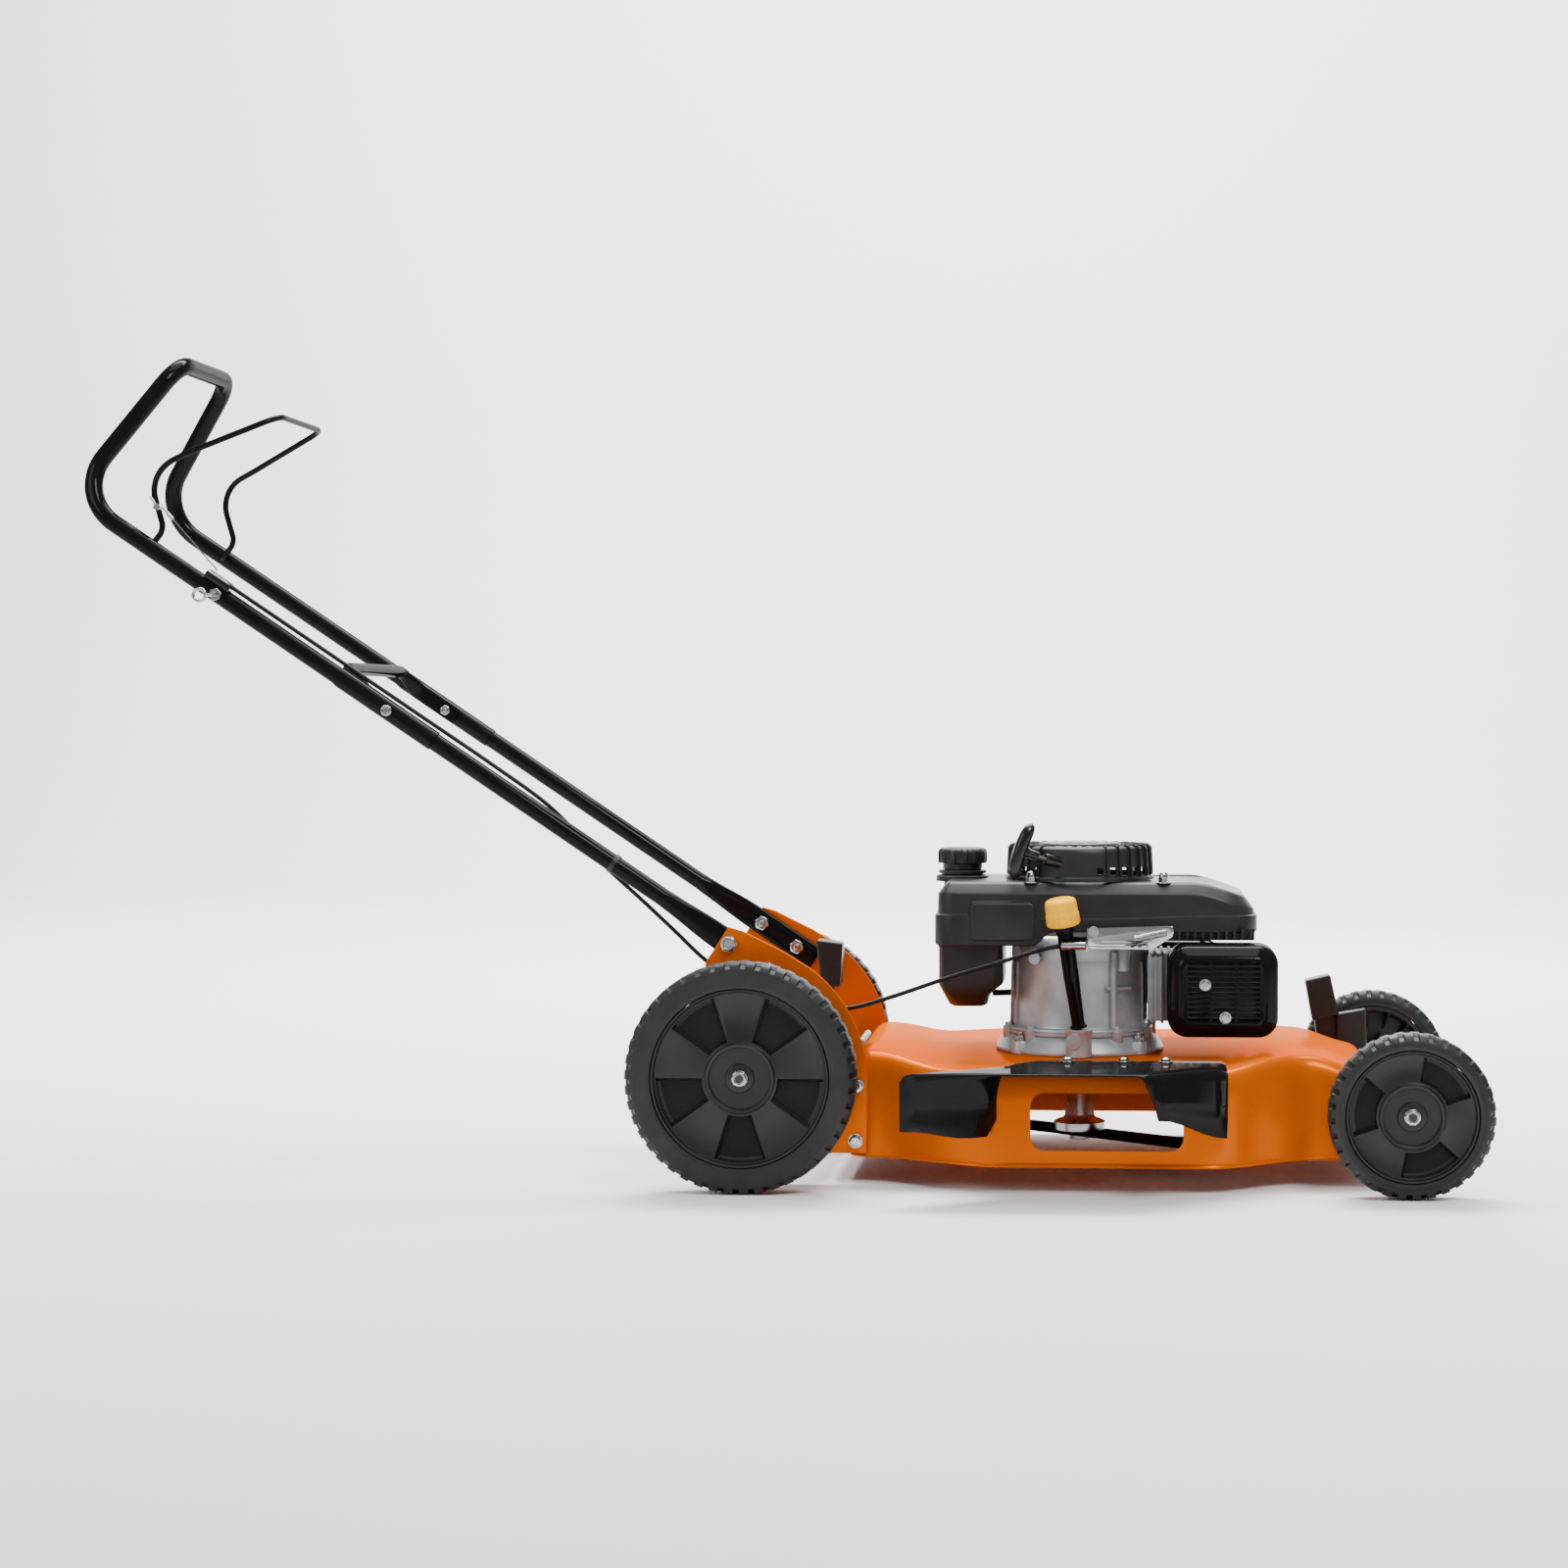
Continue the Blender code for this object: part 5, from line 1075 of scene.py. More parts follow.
def make_exhaust():
    can = mm("-85 4, -88 0, -106 0, -106 -1.5, -108 -1.5, -108 0, -126 0, -129 4")
    pipe_end = (0.5, -0.0565, 0.225)
    body = joined(
        skin(case_rings(can, (0.486, 0.185), (0.588, 0.27), 0.018)),
        rod((0.5, -0.088, 0.225), pipe_end, 0.011, 28), rod((0.5, -0.059, 0.225), pipe_end, 0.016, 28),
    )
    piece("muffler_fine", body, "dark_steel", replaces=["muffler"])
    outer = mm(
        "-83 0, -118 0, -125.5 0.6, -130 2.8, -133.5 6.2, -138.5 11.5, -140.8 14, -142 17.5, -142 19.5,"
        "-141.2 20.5"
    )
    inner = mm("-139.6 17.5, -137 11.8, -132.2 6.2, -125 1.2, -118 0, -81 0")
    shell = skin(case_rings(outer, (0.47, 0.1715), (0.6045, 0.2845), 0.024, 10, 0.6))
    guard = piece("guard_fine", shell, "black_enamel", replaces=["muffler_guard"], bevel=0.0004)
    room = skin(case_rings(inner, (0.4716, 0.1731), (0.6029, 0.2829), 0.0224, 10, 0.6))
    carve(guard, room, "guard_hollow")
    slots, lips = [], []
    for row in range(12):
        z = 0.1935 + 0.0062 * row
        lip = [(-0.1411, z + 0.003), (-0.1419, z + 0.0036), (-0.1411, z + 0.0044), (-0.1404, z + 0.0036)]
        for x in (0.4945, 0.5245, 0.5545):
            slots.append(box((x, -0.15, z), (x + 0.0265, -0.136, z + 0.0028)))
            lips.append(skin([[(px, y, h) for y, h in lip] for px in (x - 0.0006, x + 0.0271)]))
    carve(guard, joined(*slots), "louvres")
    piece("guard_lips", joined(*lips), "black_enamel")
    for index, (x, z) in enumerate(((0.5152, 0.2372), (0.5397, 0.1976))):
        washer = disc((x, 0, z), 0.0072, 0.1408, 0.142, (0, -1, 0), 32)
        head = joined(washer, nut((x, 0, z), -1, 0.1418, 0.0056, 0.0046, 0.0028, 0.4))
        piece(f"guard_bolt_{index}", head, "zinc_steel", bevel=0.0003)


COWL_TOP = 0.358
TANK_NECK = (0.2142, 0.015)
RECOIL_R, RECOIL_TOP = 0.0925, 0.403
PULL_LINE = Vector((-0.95, 0.0, 0.31)).normalized()  # the way the starter rope runs
ROPE_EYE = Vector((0.32, -0.093, 0.387))


def cowl_outline():
    """The housing from above, with a point about every 4 mm."""
    rear, front, right, left = 0.184, 0.5815, -0.098, 0.118
    corner, nose_left, nose_right = 0.026, 0.0468, 0.0416
    points = []
    for cx, cy, start, r in (
        (front - nose_left, left - nose_left, 0, nose_left), (rear + corner, left - corner, 90, corner),
        (rear + corner, right + corner, 180, corner),
        (front - nose_right, right + nose_right, 270, nose_right),
    ):
        turns = [math.radians(start + 90 * i / 14) for i in range(15)]
        points += [(cx + r * math.cos(a), cy + r * math.sin(a)) for a in turns]
    dense = []
    for (ax, ay), (bx, by) in zip(points, points[1:] + points[:1]):
        count = max(1, round(math.hypot(bx - ax, by - ay) / 0.004))
        dense += [(ax + (bx - ax) * k / count, ay + (by - ay) * k / count) for k in range(count)]
    return dense


def drawn_in(plan, inset):
    """The plan drawn in by a distance, keeping one point for each of the plan's."""
    moved = []
    for i, (x, y) in enumerate(plan):
        (ax, ay), (bx, by) = plan[i - 1], plan[(i + 1) % len(plan)]
        length = math.hypot(bx - ax, by - ay)
        moved.append((x - (by - ay) / length * inset, y + (bx - ax) / length * inset))
    return moved


def cowl_bottom(x):
    """Height of the housing's lower edge, which rises in front of the tank."""
    return 0.28 + 0.017 * smooth_step(x, 0.305, 0.33)


def cowl_top(x):
    """Height of the housing's top, which falls away at the nose."""
    return COWL_TOP - 0.02 * smooth_step(x, 0.5, 0.59)


def cowl_ledge(x):
    """Height of the step round the housing: higher over the panel beside the tank."""
    panel = smooth_step(x, 0.226, 0.231) * (1 - smooth_step(x, 0.305, 0.31))
    step = smooth_step(x, 0.36, 0.56) - smooth_step(x, 0.305, 0.31)
    return 0.318 + 0.0165 * panel + 0.005 * step


def make_blower_housing():
    plan = cowl_outline()

    def rings(height, levels):
        return [[(x, y, height(x) + up) for x, y in drawn_in(plan, inset)] for inset, up in levels]

    def over_ledge(x):
        return max(cowl_top(x) - 0.016, cowl_ledge(x) + 0.0016)

    outer = rings(cowl_bottom, mm("1 0, 0 1.2"))
    outer += rings(cowl_ledge, mm("0 -2.2, 0.4 -0.8, 2.6 0, 3.4 0.8")) + rings(over_ledge, mm("4 0"))
    outer += rings(cowl_top, mm("4.4 -14.2, 5.8 -12.4, 13 -3.4, 15 -1.5, 18 -0.3, 20 0"))
    inner = rings(cowl_top, mm("20 -2.2, 15 -3.5, 6.6 -15, 5 -20")) + rings(cowl_bottom, mm("3 0"))
    shell = hollow(outer, inner, lambda bm, row: bm.faces.new(row), 40)
    housing = piece("cowl_fine", shell, "black_plastic", replaces=["blower_housing"])
    neck = rod((*TANK_NECK, 0.33), (*TANK_NECK, 0.38), 0.0255, 40)
    intake = rod((CRANK_X, 0, 0.33), (CRANK_X, 0, 0.38), 0.07, 64)
    carve(housing, joined(neck, intake), "cowl_holes")
    levels = mm("-95.5 0, -98.4 0, -99.2 0.8, -99.5 2")
    panel = case_rings(levels, (0.229, 0.286), (0.308, 0.3325), 0.007, 6, 0.5)
    piece("cowl_panel", skin(panel), "black_plastic")
    stud = mm("5.8 6.8, 5.6 10, 4.6 12.5, 2.6 14.2, 0.8 14.7")
    nuts = mm("303 -79 356.7, 466 -79 356.7, 300 96 356.7, 435 93 356")
    for index, spot in enumerate(nuts):
        head = joined(
            disc(spot, 0.0095, 0.0, 0.0016), disc(spot, 0.0066, 0.0014, 0.007, sides=6, turn=0.2),
            solid(stud, spot, sides=28),
        )
        piece(f"cowl_nut_{index}", head, "zinc_steel", bevel=0.0003)


def make_recoil():
    base = (CRANK_X, 0, 0)
    foot, top, rim = COWL_TOP + GAP, RECOIL_TOP, RECOIL_R
    profile = [
        (0.02, top - 0.003), (0.0215, top - 0.0018), (0.024, top - 0.0002), (0.026, top), (0.05, top),
        (0.0515, top - 0.0022), (rim - 0.013, top - 0.0022), (rim - 0.0085, top - 0.0032),
        (rim - 0.006, top - 0.0062), (rim - 0.0052, top - 0.011), (rim - 0.0028, foot + 0.006),
        (rim - 0.001, foot + 0.0048), (rim, foot + 0.004), (rim, foot), (rim - 0.005, foot),
        (rim - 0.008, top - 0.011), (rim - 0.013, top - 0.005), (0.03, top - 0.0044), (0.012, top - 0.006),
        (0.008, top - 0.008), (0.008, 0.364),
    ]
    shell = skin(turned(profile, base, sides=96), sharp=34)
    cover = piece("recoil_fine", shell, "black_plastic", replaces=["recoil_cover"])
    fin = [
        (0.05, top - 0.002), (rim - 0.011, top - 0.0008), (rim - 0.006, top - 0.001),
        (rim - 0.002, top - 0.005), (rim - 0.0004, foot + 0.006), (rim - 0.004, foot + 0.006),
        (rim - 0.0075, top - 0.006), (0.05, top - 0.004),
    ]

    def vent(at, widths, low, high):
        return skin(
            [[at(r, t, z) for t, z in ((-w, low), (w, low), (w, high), (-w, high))] for r, w in widths]
        )

    cutters, fins = [], []
    for i in range(32):
        a = math.tau * (i + 0.5) / 32
        at, between = polar(base, a), polar(base, a + math.tau / 64)
        if not 4.2 < a < 4.85:  # plain where the rope comes out
            fins.append(skin([[between(r, t, z) for r, z in fin] for t in (-0.0009, 0.0009)]))
            cutters.append(vent(at, mm("78 4.2, 100 4.2"), foot + 0.007, foot + 0.017))
        cutters.append(vent(at, mm("52 2.8, 76 4.8"), 0.397, 0.41))
    piece("recoil_fins", joined(*fins), "black_plastic")
    carve(cover, joined(*cutters), "vents")
    root = ROPE_EYE - PULL_LINE * 0.03 + Vector((0, 0.02, 0))
    line = ROPE_EYE - root
    eyelet = [
        (0.0036, 0.004), (0.0036, line.length - 0.0004), (0.0052, line.length + 0.0006),
        (0.0066, line.length), (0.007, line.length - 0.001), (0.007, 0.004),
    ]
    piece("rope_eyelet", hoop(eyelet, root, line, 36), "gloss_plastic")
    stop = ROPE_EYE + PULL_LINE * 0.0075
    held, pulled = ROPE_EYE - PULL_LINE * 0.008, stop + PULL_LINE * 0.002
    rope = rod(held, pulled, 0.0024, 16)
    stretched("rope_fine", rope, "rope_fibre", held, pulled, ["starter_rope"])
    make_grip(stop + PULL_LINE * GAP)
    button = solid(mm("11 0, 11 1.6, 8 3.4, 3 4"), (CRANK_X, 0, top - 0.0032), sides=32)
    piece("recoil_button", button, "gloss_plastic")


def squared(value, power):
    """A sine or cosine raised to a power below one, which squares up the curve it draws."""
    return math.copysign(abs(value) ** power, value)


def make_grip(start):
    """A handle that bows away from the rope, on a tapered neck."""
    across = Vector((-PULL_LINE.z, 0, PULL_LINE.x))
    centre = start + PULL_LINE * 0.024
    rings = []
    for k in range(25):
        t = -1 + 2 * k / 24
        end = math.sqrt(max(1 - abs(t) ** 5, 0.0))
        half = max((0.0105 + 0.0025 * (1 - t * t)) * end, 0.0006)
        depth = max(0.0085 * end, 0.0005)
        point = centre + across * (0.037 * t) - PULL_LINE * (0.004 * t * t)
        ring = []
        for i in range(28):
            a = math.tau * i / 28
            wide, deep = half * squared(math.cos(a), 0.75), depth * squared(math.sin(a), 0.75)
            ring.append(point + Vector((0, wide, 0)) + PULL_LINE * deep)
        rings.append(ring)
    neck = solid(mm("4.8 0, 5.6 1.2, 5.6 10, 7.5 16.5, 9 21"), start, PULL_LINE, 28)
    grip = joined(skin(rings), neck)
    piece("grip_fine", grip, "gloss_plastic", "starter_grip", ["starter_grip"])


def clipped_wave(angle, count, gain):
    """A wave with flattened crests, as the grip ribs round a cap have."""
    return max(-1.0, min(1.0, gain * math.sin(count * angle)))


def make_fuel():
    x, y = TANK_NECK
    levels = mm(
        "205.2 -56 244 66 201.5, 201 -60 248 70 204, 196 -72 250 80 215, 193 -74.5 256 82.5 221,"
        "188.5 -78 267.5 86 230, 188.5 -78 267.5 86 276, 187.5 -79 268.5 87 276.5,"
        "187.5 -79 268.5 87 278.5, 188.5 -78 267.5 86 279, 188.5 -78 267.5 86 306,"
        "192.5 -74 263.5 82 312"
    )
    rings = [
        [(px, py, z) for px, py in rounded((x0, y0), (x1, y1), 0.012, 8)] for x0, y0, x1, y1, z in levels
    ]
    neck = hoop(mm("20 310, 20 368.8, 23.5 368.8, 23.5 310"), (x, y, 0), sides=56)
    collar = mm(
        "23.7 354, 23.7 367.6, 29.8 367.6, 30.3 367, 30.3 364, 26.2 363.2, 26.2 361.8, 32 361.2, 33 360.2,"
        "33.6 354"
    )
    tank = joined(skin(rings), neck, hoop(collar, (x, y, 0), sides=72))
    piece("tank_fine", tank, "black_plastic", replaces=["fuel_tank"])
    lobed = []
    for radius, z in mm("28.6 376.5, 29.8 377.5, 29.8 390, 28.8 393, 26.2 395.2, 20 396.2, 8 396.5"):
        ring = []
        for i in range(192):
            a = math.tau * i / 192
            r = radius + 0.0012 * clipped_wave(a, 12, 2.4) * smooth_step(radius, 0.02, 0.028)
            ring.append((x + r * math.cos(a), y + r * math.sin(a), z))
        lobed.append(ring)
    bridge = prism(rounded((x - 0.019, y - 0.0045), (x + 0.019, y + 0.0045), 0.004), 0.3955, 0.3962)
    cap = joined(
        skin(lobed), disc((x, y, 0), 0.025, 0.3694, 0.378, sides=48),
        rod((x, y, 0.35), (x, y, 0.371), 0.019, 32), bridge,
    )
    piece("fuel_cap_fine", cap, "black_plastic", "fuel_cap", ["fuel_cap"])
    route = mm("251.2 50 208.5, 270 56 208.5, 300 85 208.5, 362.5 100 208.5, 420 95 208.5, 463.2 85 208.5")
    line = bar(spline(route, 0.005), 0.004, 20)
    piece("fuel_line_fine", line, "cable_jacket", replaces=["fuel_line"])


def make_oil_filler():
    along = (OIL_TOP - OIL_FOOT).normalized()
    length = (OIL_TOP - OIL_FOOT).length
    start = OIL_FOOT + along * 0.0012
    wall = mm("5.5 0, 8 0, 10.5 1, 10.5 2.6, 8.2 3.6, 8 10") + [
        (0.0088, length * 0.35), (0.0094, length * 0.5), (0.0098, length * 0.9), (0.0106, length * 0.915),
        (0.0106, length * 0.985), (0.01, length * 0.99), (0.0055, length * 0.99),
    ]
    piece("oil_tube_fine", hoop(wall, start, along, 36), "black_enamel", replaces=["oil_filler_tube"])
    base = start + along * (length * 0.99 + GAP)
    side, up = square_to(along, (0, 0, 1))
    rings = []
    for radius, d, wave in mm(
        "17.5 0 0, 19.5 1 0, 20.3 3 0.3, 20.3 15 0.3, 19.5 16 0, 19.5 27 0, 18.8 30.2 0, 17.2 32.3 0,"
        "14.5 33.4 0, 4 33.8 0"
    ):
        ring = []
        for i in range(144):
            a = math.tau * i / 144
            r = radius + wave * clipped_wave(a, 18, 2.5)
            ring.append(base + along * d + side * (r * math.cos(a)) + up * (r * math.sin(a)))
        rings.append(ring)
    stick = rod(base - along * 0.115, base + along * 0.004, 0.0022, 14)
    piece("dipstick_fine", joined(skin(rings), stick), "yellow_plastic", "oil_dipstick", ["oil_dipstick"])


# ---------------------------------------------------------------- blade and shaft

BLADE_BOTTOM, BLADE_T = 0.0375, 0.004
BLADE_REACH, BLADE_HALF_WIDTH = 0.235, 0.028
BLADE_TURN = math.radians(-38.7)  # how the blade stands at rest


def blade_point(reach, across=0.0, z=0.0):
    c, s = math.cos(BLADE_TURN), math.sin(BLADE_TURN)
    return Vector((CRANK_X + reach * c - across * s, reach * s + across * c, z))


def blade_section(share):
    """Across the blade at a share of its reach: sharp on its leading side, lifted on its trailing one."""
    reach, hand = abs(share), 1 if share > 0 else -1
    lift = 0.013 * smooth_step(reach, 0.55, 0.88)
    trim = 1.0 - 0.1 * smooth_step(reach, 0.92, 1.0)
    lower, upper = [], []
    for i in range(13):
        trail = trim * (-1 + i / 6)
        rise = lift * smooth_step(trail * hand, 0.0, 1.0)
        keen = smooth_step(-trail * hand, 0.72, 1.0) * smooth_step(reach, 0.45, 0.5)
        lower.append((BLADE_HALF_WIDTH * trail, rise))
        upper.append((BLADE_HALF_WIDTH * trail, rise + BLADE_T * (1.0 - 0.85 * keen)))
    return [blade_point(share * BLADE_REACH, a, BLADE_BOTTOM + z) for a, z in lower + upper[::-1]]


def flywheel_vane(index):
    ring = []
    for side, steps in ((-1, range(6)), (1, range(5, -1, -1))):
        for k in steps:
            r = 0.042 + 0.0074 * k
            a = math.tau * index / 20 + 0.05 * k + side * 0.0016 / r
            ring.append((CRANK_X + r * math.cos(a), r * math.sin(a)))
    return prism(ring, 0.3055, 0.324)


def make_rotor():
    base = (CRANK_X, 0, 0)
    adapter = hoop(
        mm(
            "6 41.8, 31.8 41.8, 32.5 42.6, 32.5 52, 31.5 52.8, 27 55, 21.5 56.8, 19.2 59, 18.5 61.8,"
            "18.5 132, 17.8 133, 13 133, 13 56, 6 56"
        ),
        base
    )
    piece("adapter_fine", adapter, "machined_aluminium", "rotor", ["blade_adapter"])
    bar_mesh = skin([blade_section(-1.0 + 2.0 * k / 56) for k in range(57)])
    blade = piece("blade_fine", bar_mesh, "blade_paint", "rotor", ["mower_blade"])
    carve(blade, rod((CRANK_X, 0, 0.02), (CRANK_X, 0, 0.06), 0.006, 24), "blade_hole")
    bolt = joined(
        disc(base, 0.0125, 0.0295, 0.0362, sides=6), disc(base, 0.015, 0.036, 0.0372, sides=40),
        disc(base, 0.0054, 0.0365, 0.094, sides=24),
    )
    piece("blade_bolt_fine", bolt, "zinc_steel", "rotor", ["blade_bolt"], bevel=0.0006)
    for index, reach in enumerate((-0.024, 0.024)):
        head = disc(blade_point(reach), 0.0072, 0.033, 0.0373, sides=6)
        piece(f"adapter_bolt_{index}", head, "zinc_steel", "rotor", bevel=0.0005)
    rim = solid(
        mm("79.5 290, 80 290.5, 80 305.5, 79.5 306, 30 306, 26 314, 16 314, 16 290.2"), base, sides=96
    )
    wheel = joined(rim, *map(flywheel_vane, range(20)))
    piece("flywheel_fine", wheel, "cast_aluminium", "rotor", ["flywheel"])
    dress("crankshaft", "dark_steel")


# ---------------------------------------------------------------- levers, fasteners, brake and cable


def make_levers():
    x, z = FRONT_PIVOT
    blade = [(x - 0.014, z - 0.01), (x + 0.012, z - 0.012), (x + 0.027, 0.115)] + mm("737 177, 699 170")
    strap = mm("699 100, 706 160, 700 180, 669 172, 676 115")
    knob = mm("667 160, 702 168, 690.5 221.5, 657.5 213.5")
    front = joined(slab(blade, 0.1882, 0.2038), slab(strap, 0.1992, 0.2078), slab(knob, 0.1902, 0.2198))
    x, z = REAR_PIVOT
    strap = [(x - 0.013, z - 0.013), (x + 0.013, z - 0.013), (x + 0.017, z + 0.01)] + mm("42 220, 26 220")
    knob = mm("22.8 206, 48.8 208, 52 265, 17 269")
    rear = joined(slab(strap, 0.1482, 0.1558), slab(knob, 0.1282, 0.1598))
    for end, lever in (("front", front), ("rear", rear)):
        piece(
            f"{end}_lever_fine", lever, "wheel_plastic", f"{end}_axle", [f"{end}_height_lever"], 0.003,
            4
        )


def bolt_mesh(place, side, head, nut_at, length, across, shank):
    """A bolt along Y from its head, outside a part, to the nut on its inner end."""
    corner = across / math.cos(math.pi / 6)
    along = (0, -side, 0)
    shaft = [(shank, -head + 0.001), (shank, length - 0.0008), (shank - 0.0008, length)]
    return joined(
        nut(place, side, 0.001, across, head - 0.001, shank + 0.0012),
        disc(place, corner, -0.0011, 0.0, along, 32), solid(shaft, place, along, 20),
        nut(place, -side, nut_at, across, 0.006, shank + 0.0012, 0.1),
    )


def make_fasteners():
    for side, hand in SIDES:
        plate, tube = PLATE_Y + PLATE_T + GAP, TUBE_Y + SLEEVE_R + GAP
        wide, slim = (0.0072, 0.0126, 0.0198, 0.0084, 0.0042), (0.004, 0.0312, 0.0378, 0.0058, 0.0029)
        for name, x, y, sizes, bevel in (
            (f"handle_bolt_{hand}_rear", -0.0586, plate, wide, 0.0005),
            (f"handle_bolt_{hand}_front", -0.0125, plate, wide, 0.0005),
            (f"brace_bolt_{hand}", -0.4755, tube, slim, 0.0004),
        ):
            bolt = bolt_mesh((x, side * y, handle_z(x)), side, *sizes)
            piece(f"{name}_fine", bolt, "zinc_steel", replaces=[name], bevel=bevel)
    x = -0.684
    y, z = -(TUBE_Y + TUBE_R + GAP), handle_z(x)
    seat = (x, y, z)
    wire = [
        (0.0075 + 0.0021 * math.cos(t), 0.0021 * math.sin(t)) for t in [math.tau * i / 14 for i in range(14)]
    ]
    ends = [polar((x - 0.0175, y - 0.011, z - 0.001), math.tau * i / 40, 1) for i in range(40)]
    guide = joined(
        skin([[at(r, 0, d) for r, d in wire] for at in ends], closed=True),
        rod((x, y - 0.011, z), (x - 0.0105, y - 0.011, z - 0.001), 0.0022, 14),
        disc(seat, 0.0078, 0.0, 0.006, (0, -1, 0), 6, 0.2), disc(seat, 0.003, 0.0, 0.013, (0, -1, 0), 20),
        rod((x, y - 0.001, z), (x, -0.1531, z), 0.003, 20),
    )
    piece("rope_guide_fine", guide, "zinc_steel", replaces=["rope_guide"], bevel=0.0004)


CABLE_Y, CABLE_Z = -0.134, 0.2835
CABLE_R, WIRE_R = 0.0027, 0.001
CABLE_END = -0.676  # on the handle, where the bare wire comes out
CABLE_LIFT = 0.0165  # from the tube's centre line to the cable's
CABLE_ON_TUBE = (  # x and degrees round the tube
    (CABLE_END, 0), (-0.6, 4), (-0.52, 8), (-0.44, 8), (-0.36, 10), (-0.29, 40), (-0.235, 95), (-0.205, 130)
)
CABLE_FREE = mm(
    "-170 -148 339, -130 -145 301, -91 -143 264, -40 -142 229, 20 -140 208, 79 -136 206, 131 -133 219,"
    "201.5 -132 243, 270 -133 264, 315 -134 278, 335 -134 282.3, 343 -134 283.5"
)
HOOK = Vector((-0.7593, -0.15, 0.818))  # where the wire holds the bail
LEVER_HOOK_X = 0.4218
CLIP_MARKS = (  # degrees round the tube, distance from its centre, and share of the end's rounding
    (-40, 0.0122, 0), (-34, 0.0165, 0), (-27, 0.02, 1), (-18, 0.0208, 1), (0, 0.021, 1), (18, 0.0208, 1),
    (27, 0.02, 1), (34, 0.0165, 0), (40, 0.0122, 0), (20, 0.0117, 0), (0, 0.0115, 0), (-20, 0.0117, 0),
)


def make_cable():
    route = [on_tube(x, -1, turn, CABLE_LIFT) for x, turn in CABLE_ON_TUBE] + CABLE_FREE
    points = spline(route, 0.006)
    length = sum((b - a).length for a, b in zip(points, points[1:]))
    cable = piece("cable_fine", bar(points, CABLE_R, 16), "cable_jacket", replaces=["control_cable"])
    start = (points[-1].x - 0.002, CABLE_Y, CABLE_Z)
    reach = 0.3712 - start[0]
    profile = mm("4.2 0, 5 1, 5 12, 4.4 12.5, 4.4 15, 5 15.5") + [(0.005, reach - 0.001), (0.004, reach)]
    piece("cable_ferrule", solid(profile, start, (1, 0, 0), 28), "zinc_steel")


def make_cable_clip():
    rings = []
    for x, inset in mm("-706 1.2, -704.5 0, -677.8 0, -676.3 1.2"):
        rings.append([on_tube(x, -1, turn, distance - share * inset) for turn, distance, share in CLIP_MARKS])
    piece(
        "cable_clip_fine", skin(rings), "gloss_plastic", replaces=["cable_bracket"],
        bevel=0.0006
    )


def make_bail_wire():
    seat = on_tube(CABLE_END, -1, 0, CABLE_LIFT)
    along = (seat - HOOK).normalized()
    held = seat - along * 0.03
    wire = rod(held, HOOK, 0.0009, 12)
    stretched("wire_fine", wire, "dark_steel", held, HOOK, ["cable_wire"])
    barrel = HOOK + Vector((-0.0035, 0, 0))
    pin = HOOK + Vector((0, -0.0065, 0))
    clamp = joined(
        rod(barrel - Vector((0, 0.01, 0)), barrel + Vector((0, 0.006, 0)), 0.004),
        rod(pin + Vector((-0.0125, 0, 0.013)), pin + Vector((-0.002, 0, -0.004)), 0.0016, 10),
        rod(HOOK + along * 0.01, HOOK + along * 0.02, 0.0022, 14),
    )
    piece("wire_clamp", clamp, "zinc_steel", "brake_bail")
    washer = mm("4 -1.6, 4 1.6, 5.8 1.6, 5.8 -1.6")
    eye = hoop(washer, (-0.7648, -0.15, 0.818), (-0.0195, 0, 0.0695), 28)
    piece("wire_eye", eye, "zinc_steel", "brake_bail")


def make_cable_tie():
    x = -0.2
    centre = Vector((x, -TUBE_Y, handle_z(x)))
    along = Vector((math.cos(HANDLE_TILT), 0, -math.sin(HANDLE_TILT)))
    section = mm("-0.6 -3, -0.6 3, 1 3, 1 -3")
    rings = []
    for k in range(24):
        point = on_tube(x, -1, 15 * k, 0.0117)
        out = (point - centre).normalized()
        rings.append([point + out * lift + along * shift for lift, shift in section])
    piece("cable_tie", skin(rings, closed=True), "wheel_plastic")


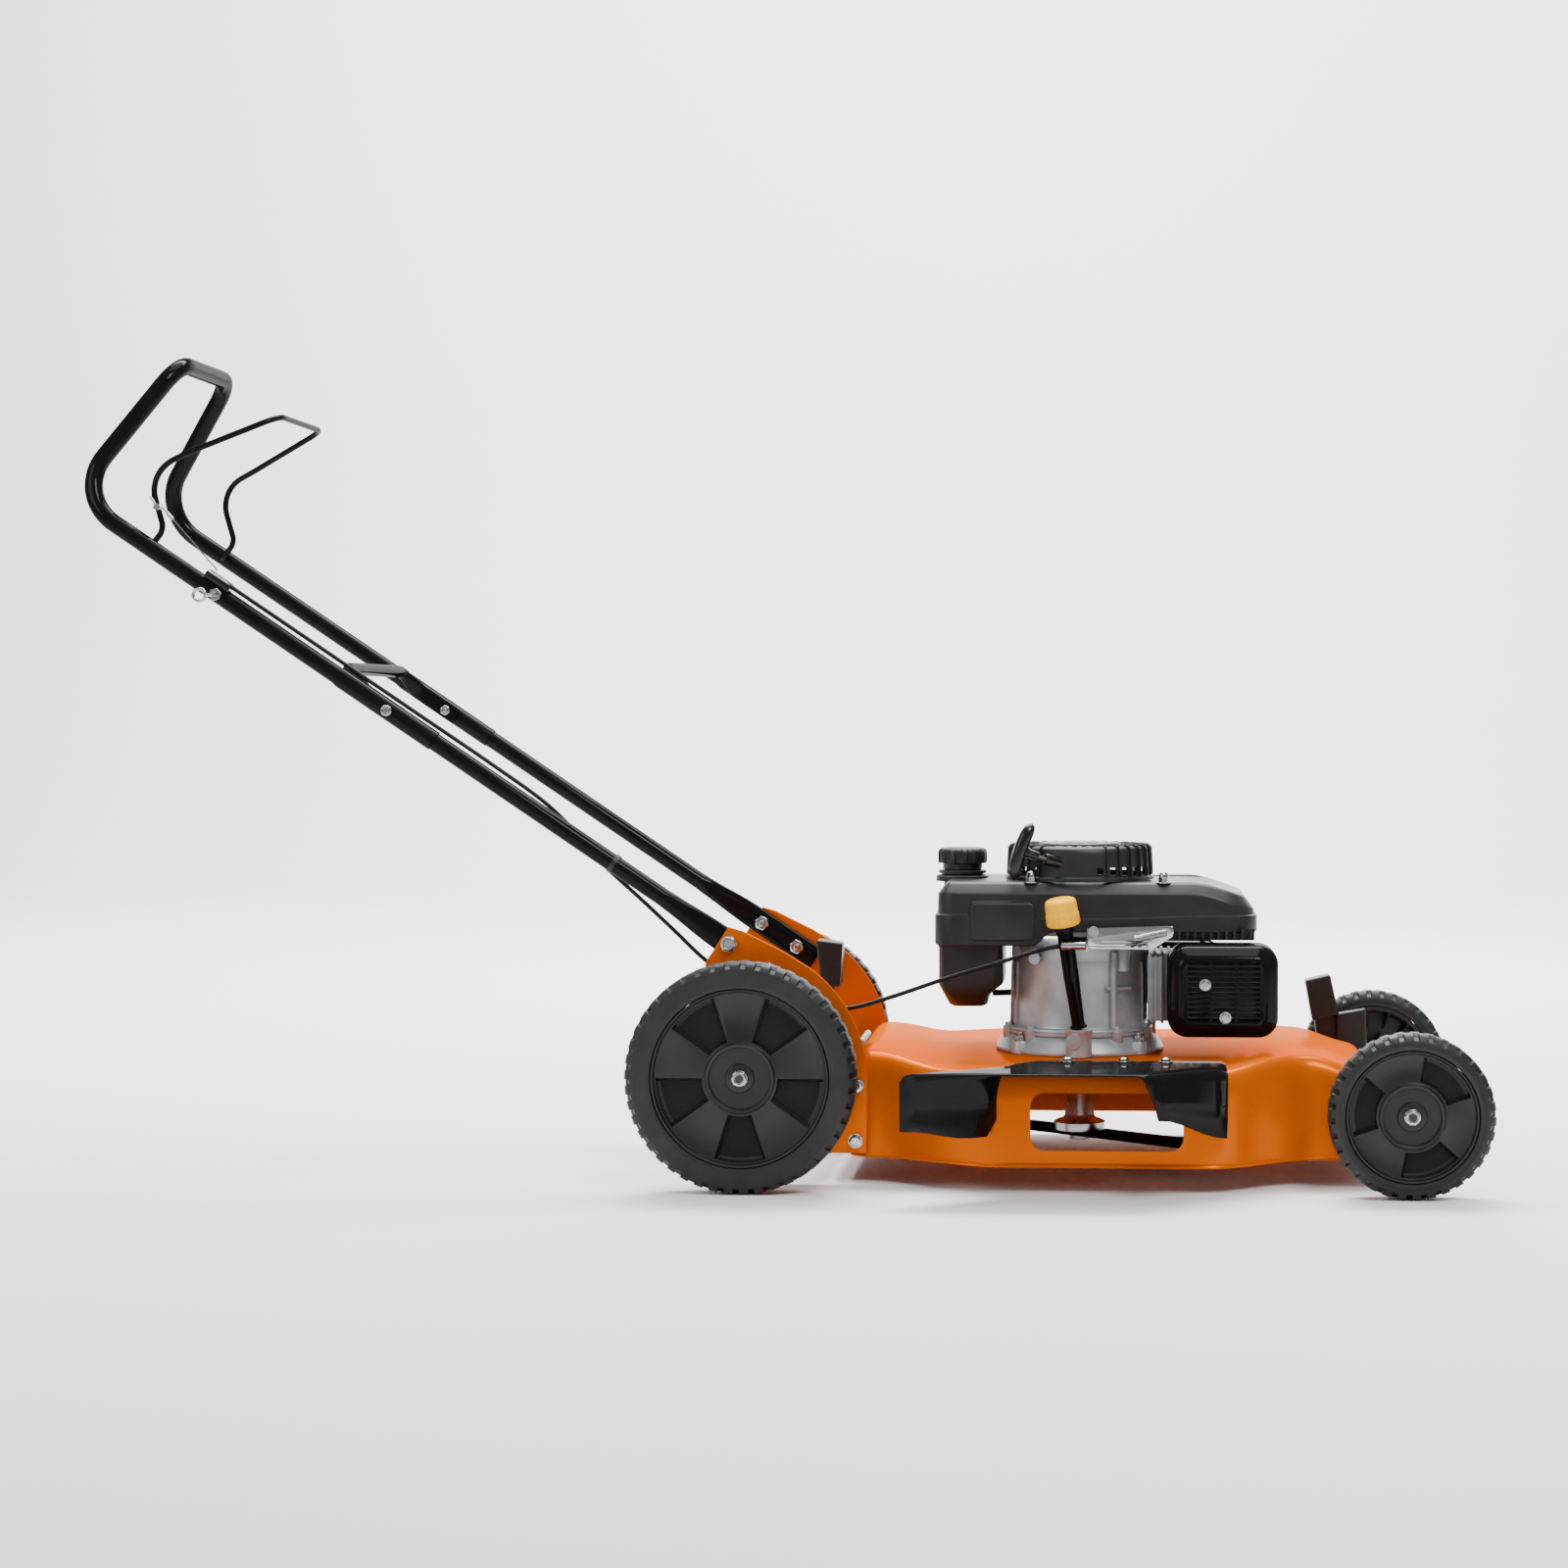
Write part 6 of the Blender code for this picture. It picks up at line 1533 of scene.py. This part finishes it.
def make_brake():
    dress("brake_bracket", "zinc_steel", 0.0004)
    dress("brake_lever", "zinc_steel", 0.0004)
    start = Vector((LEVER_HOOK_X + 0.004, CABLE_Y, CABLE_Z + 0.0075))
    end = Vector((0.4738, CABLE_Y, 0.301))
    along = (end - start).normalized()
    side, up = square_to(along, (0, 1, 0))
    coil, steps, per_turn = 0.004, 19 * 18, 18
    path = [start - along * 0.0005]
    for k in range(steps + 1):
        a = math.tau * k / per_turn
        reach = (end - start).length * (0.1 + 0.8 * k / steps)
        path.append(start + along * reach + side * (coil * math.cos(a)) + up * (coil * math.sin(a)))
    path.append(end)
    stretched("spring_fine", bar(path, 0.0007, 6), "zinc_steel", end, start, ["brake_spring"])
    held, pulled = (0.3705, CABLE_Y, CABLE_Z), (LEVER_HOOK_X - 0.002, CABLE_Y, CABLE_Z)
    stretched("inner_wire", rod(held, pulled, WIRE_R, 12), "zinc_steel", held, pulled)
    seat, out = (0.38, -0.1062, 0.2985), (0, -1, 0)
    head = joined(disc(seat, 0.0068, 0.0, 0.0011, out), disc(seat, 0.005, 0.001, 0.0045, out, 6, 0.3))
    piece("bracket_bolt", head, "zinc_steel", bevel=0.0004)


def make_flap():
    x, z = 0.062, 0.133
    width = PLATE_Y - 0.006
    rings = []
    for y, d in ((-width, 0.0006), (-width + 0.0006, 0.0), (width - 0.0006, 0.0), (width, 0.0006)):
        outline = [
            (x - 0.002 + d, 0.034 + d), (x + 0.002 - d, 0.034 + d), (x + 0.0028 - d, z - 0.01),
            (x + 0.002, z - 0.004), (x - 0.002, z - 0.004), (x - 0.0028 + d, z - 0.01)
        ]
        rings.append([(px, y, pz) for px, pz in outline])
    section = [(0.004, -width), (0.004, width), (0.0072, width), (0.0072, -width)]
    hinge = hoop(section, (x, 0, z), (0, 1, 0), 40)
    ribs = []
    for k in range(5):
        low = 0.046 + 0.015 * k
        ribs.append(box((x - 0.003, -width + 0.01, low), (x + 0.0034, width - 0.01, low + 0.003)))
    piece("flap_fine", joined(skin(rings), hinge, *ribs), "flap_rubber", "rear_flap", ["rear_flap"])
    dress("flap_rod", "zinc_steel")
    pin = solid(mm("4 0, 4.2 0.6, 4.2 104, 3 104.7"), (0.101, -PLATE_Y + GAP, 0.1692), (0, 1, 0), 28)
    piece("stay_pin_fine", pin, "grey_pin", replaces=["stay_pin"])


def main():
    make_camera()
    make_lights()
    make_floor()
    make_cable()
    make_cable_clip()
    make_bail_wire()
    make_cable_tie()
    make_deck()
    make_chute()
    make_plates()
    make_running_gear()
    make_handle()
    make_bail()
    make_crankcase()
    make_cylinder()
    make_intake()
    make_exhaust()
    make_blower_housing()
    make_recoil()
    make_fuel()
    make_oil_filler()
    make_cooling_teeth()
    make_rotor()
    make_levers()
    make_fasteners()
    make_brake()
    make_flap()
    dress("recoil_pulley", "black_plastic")


main()
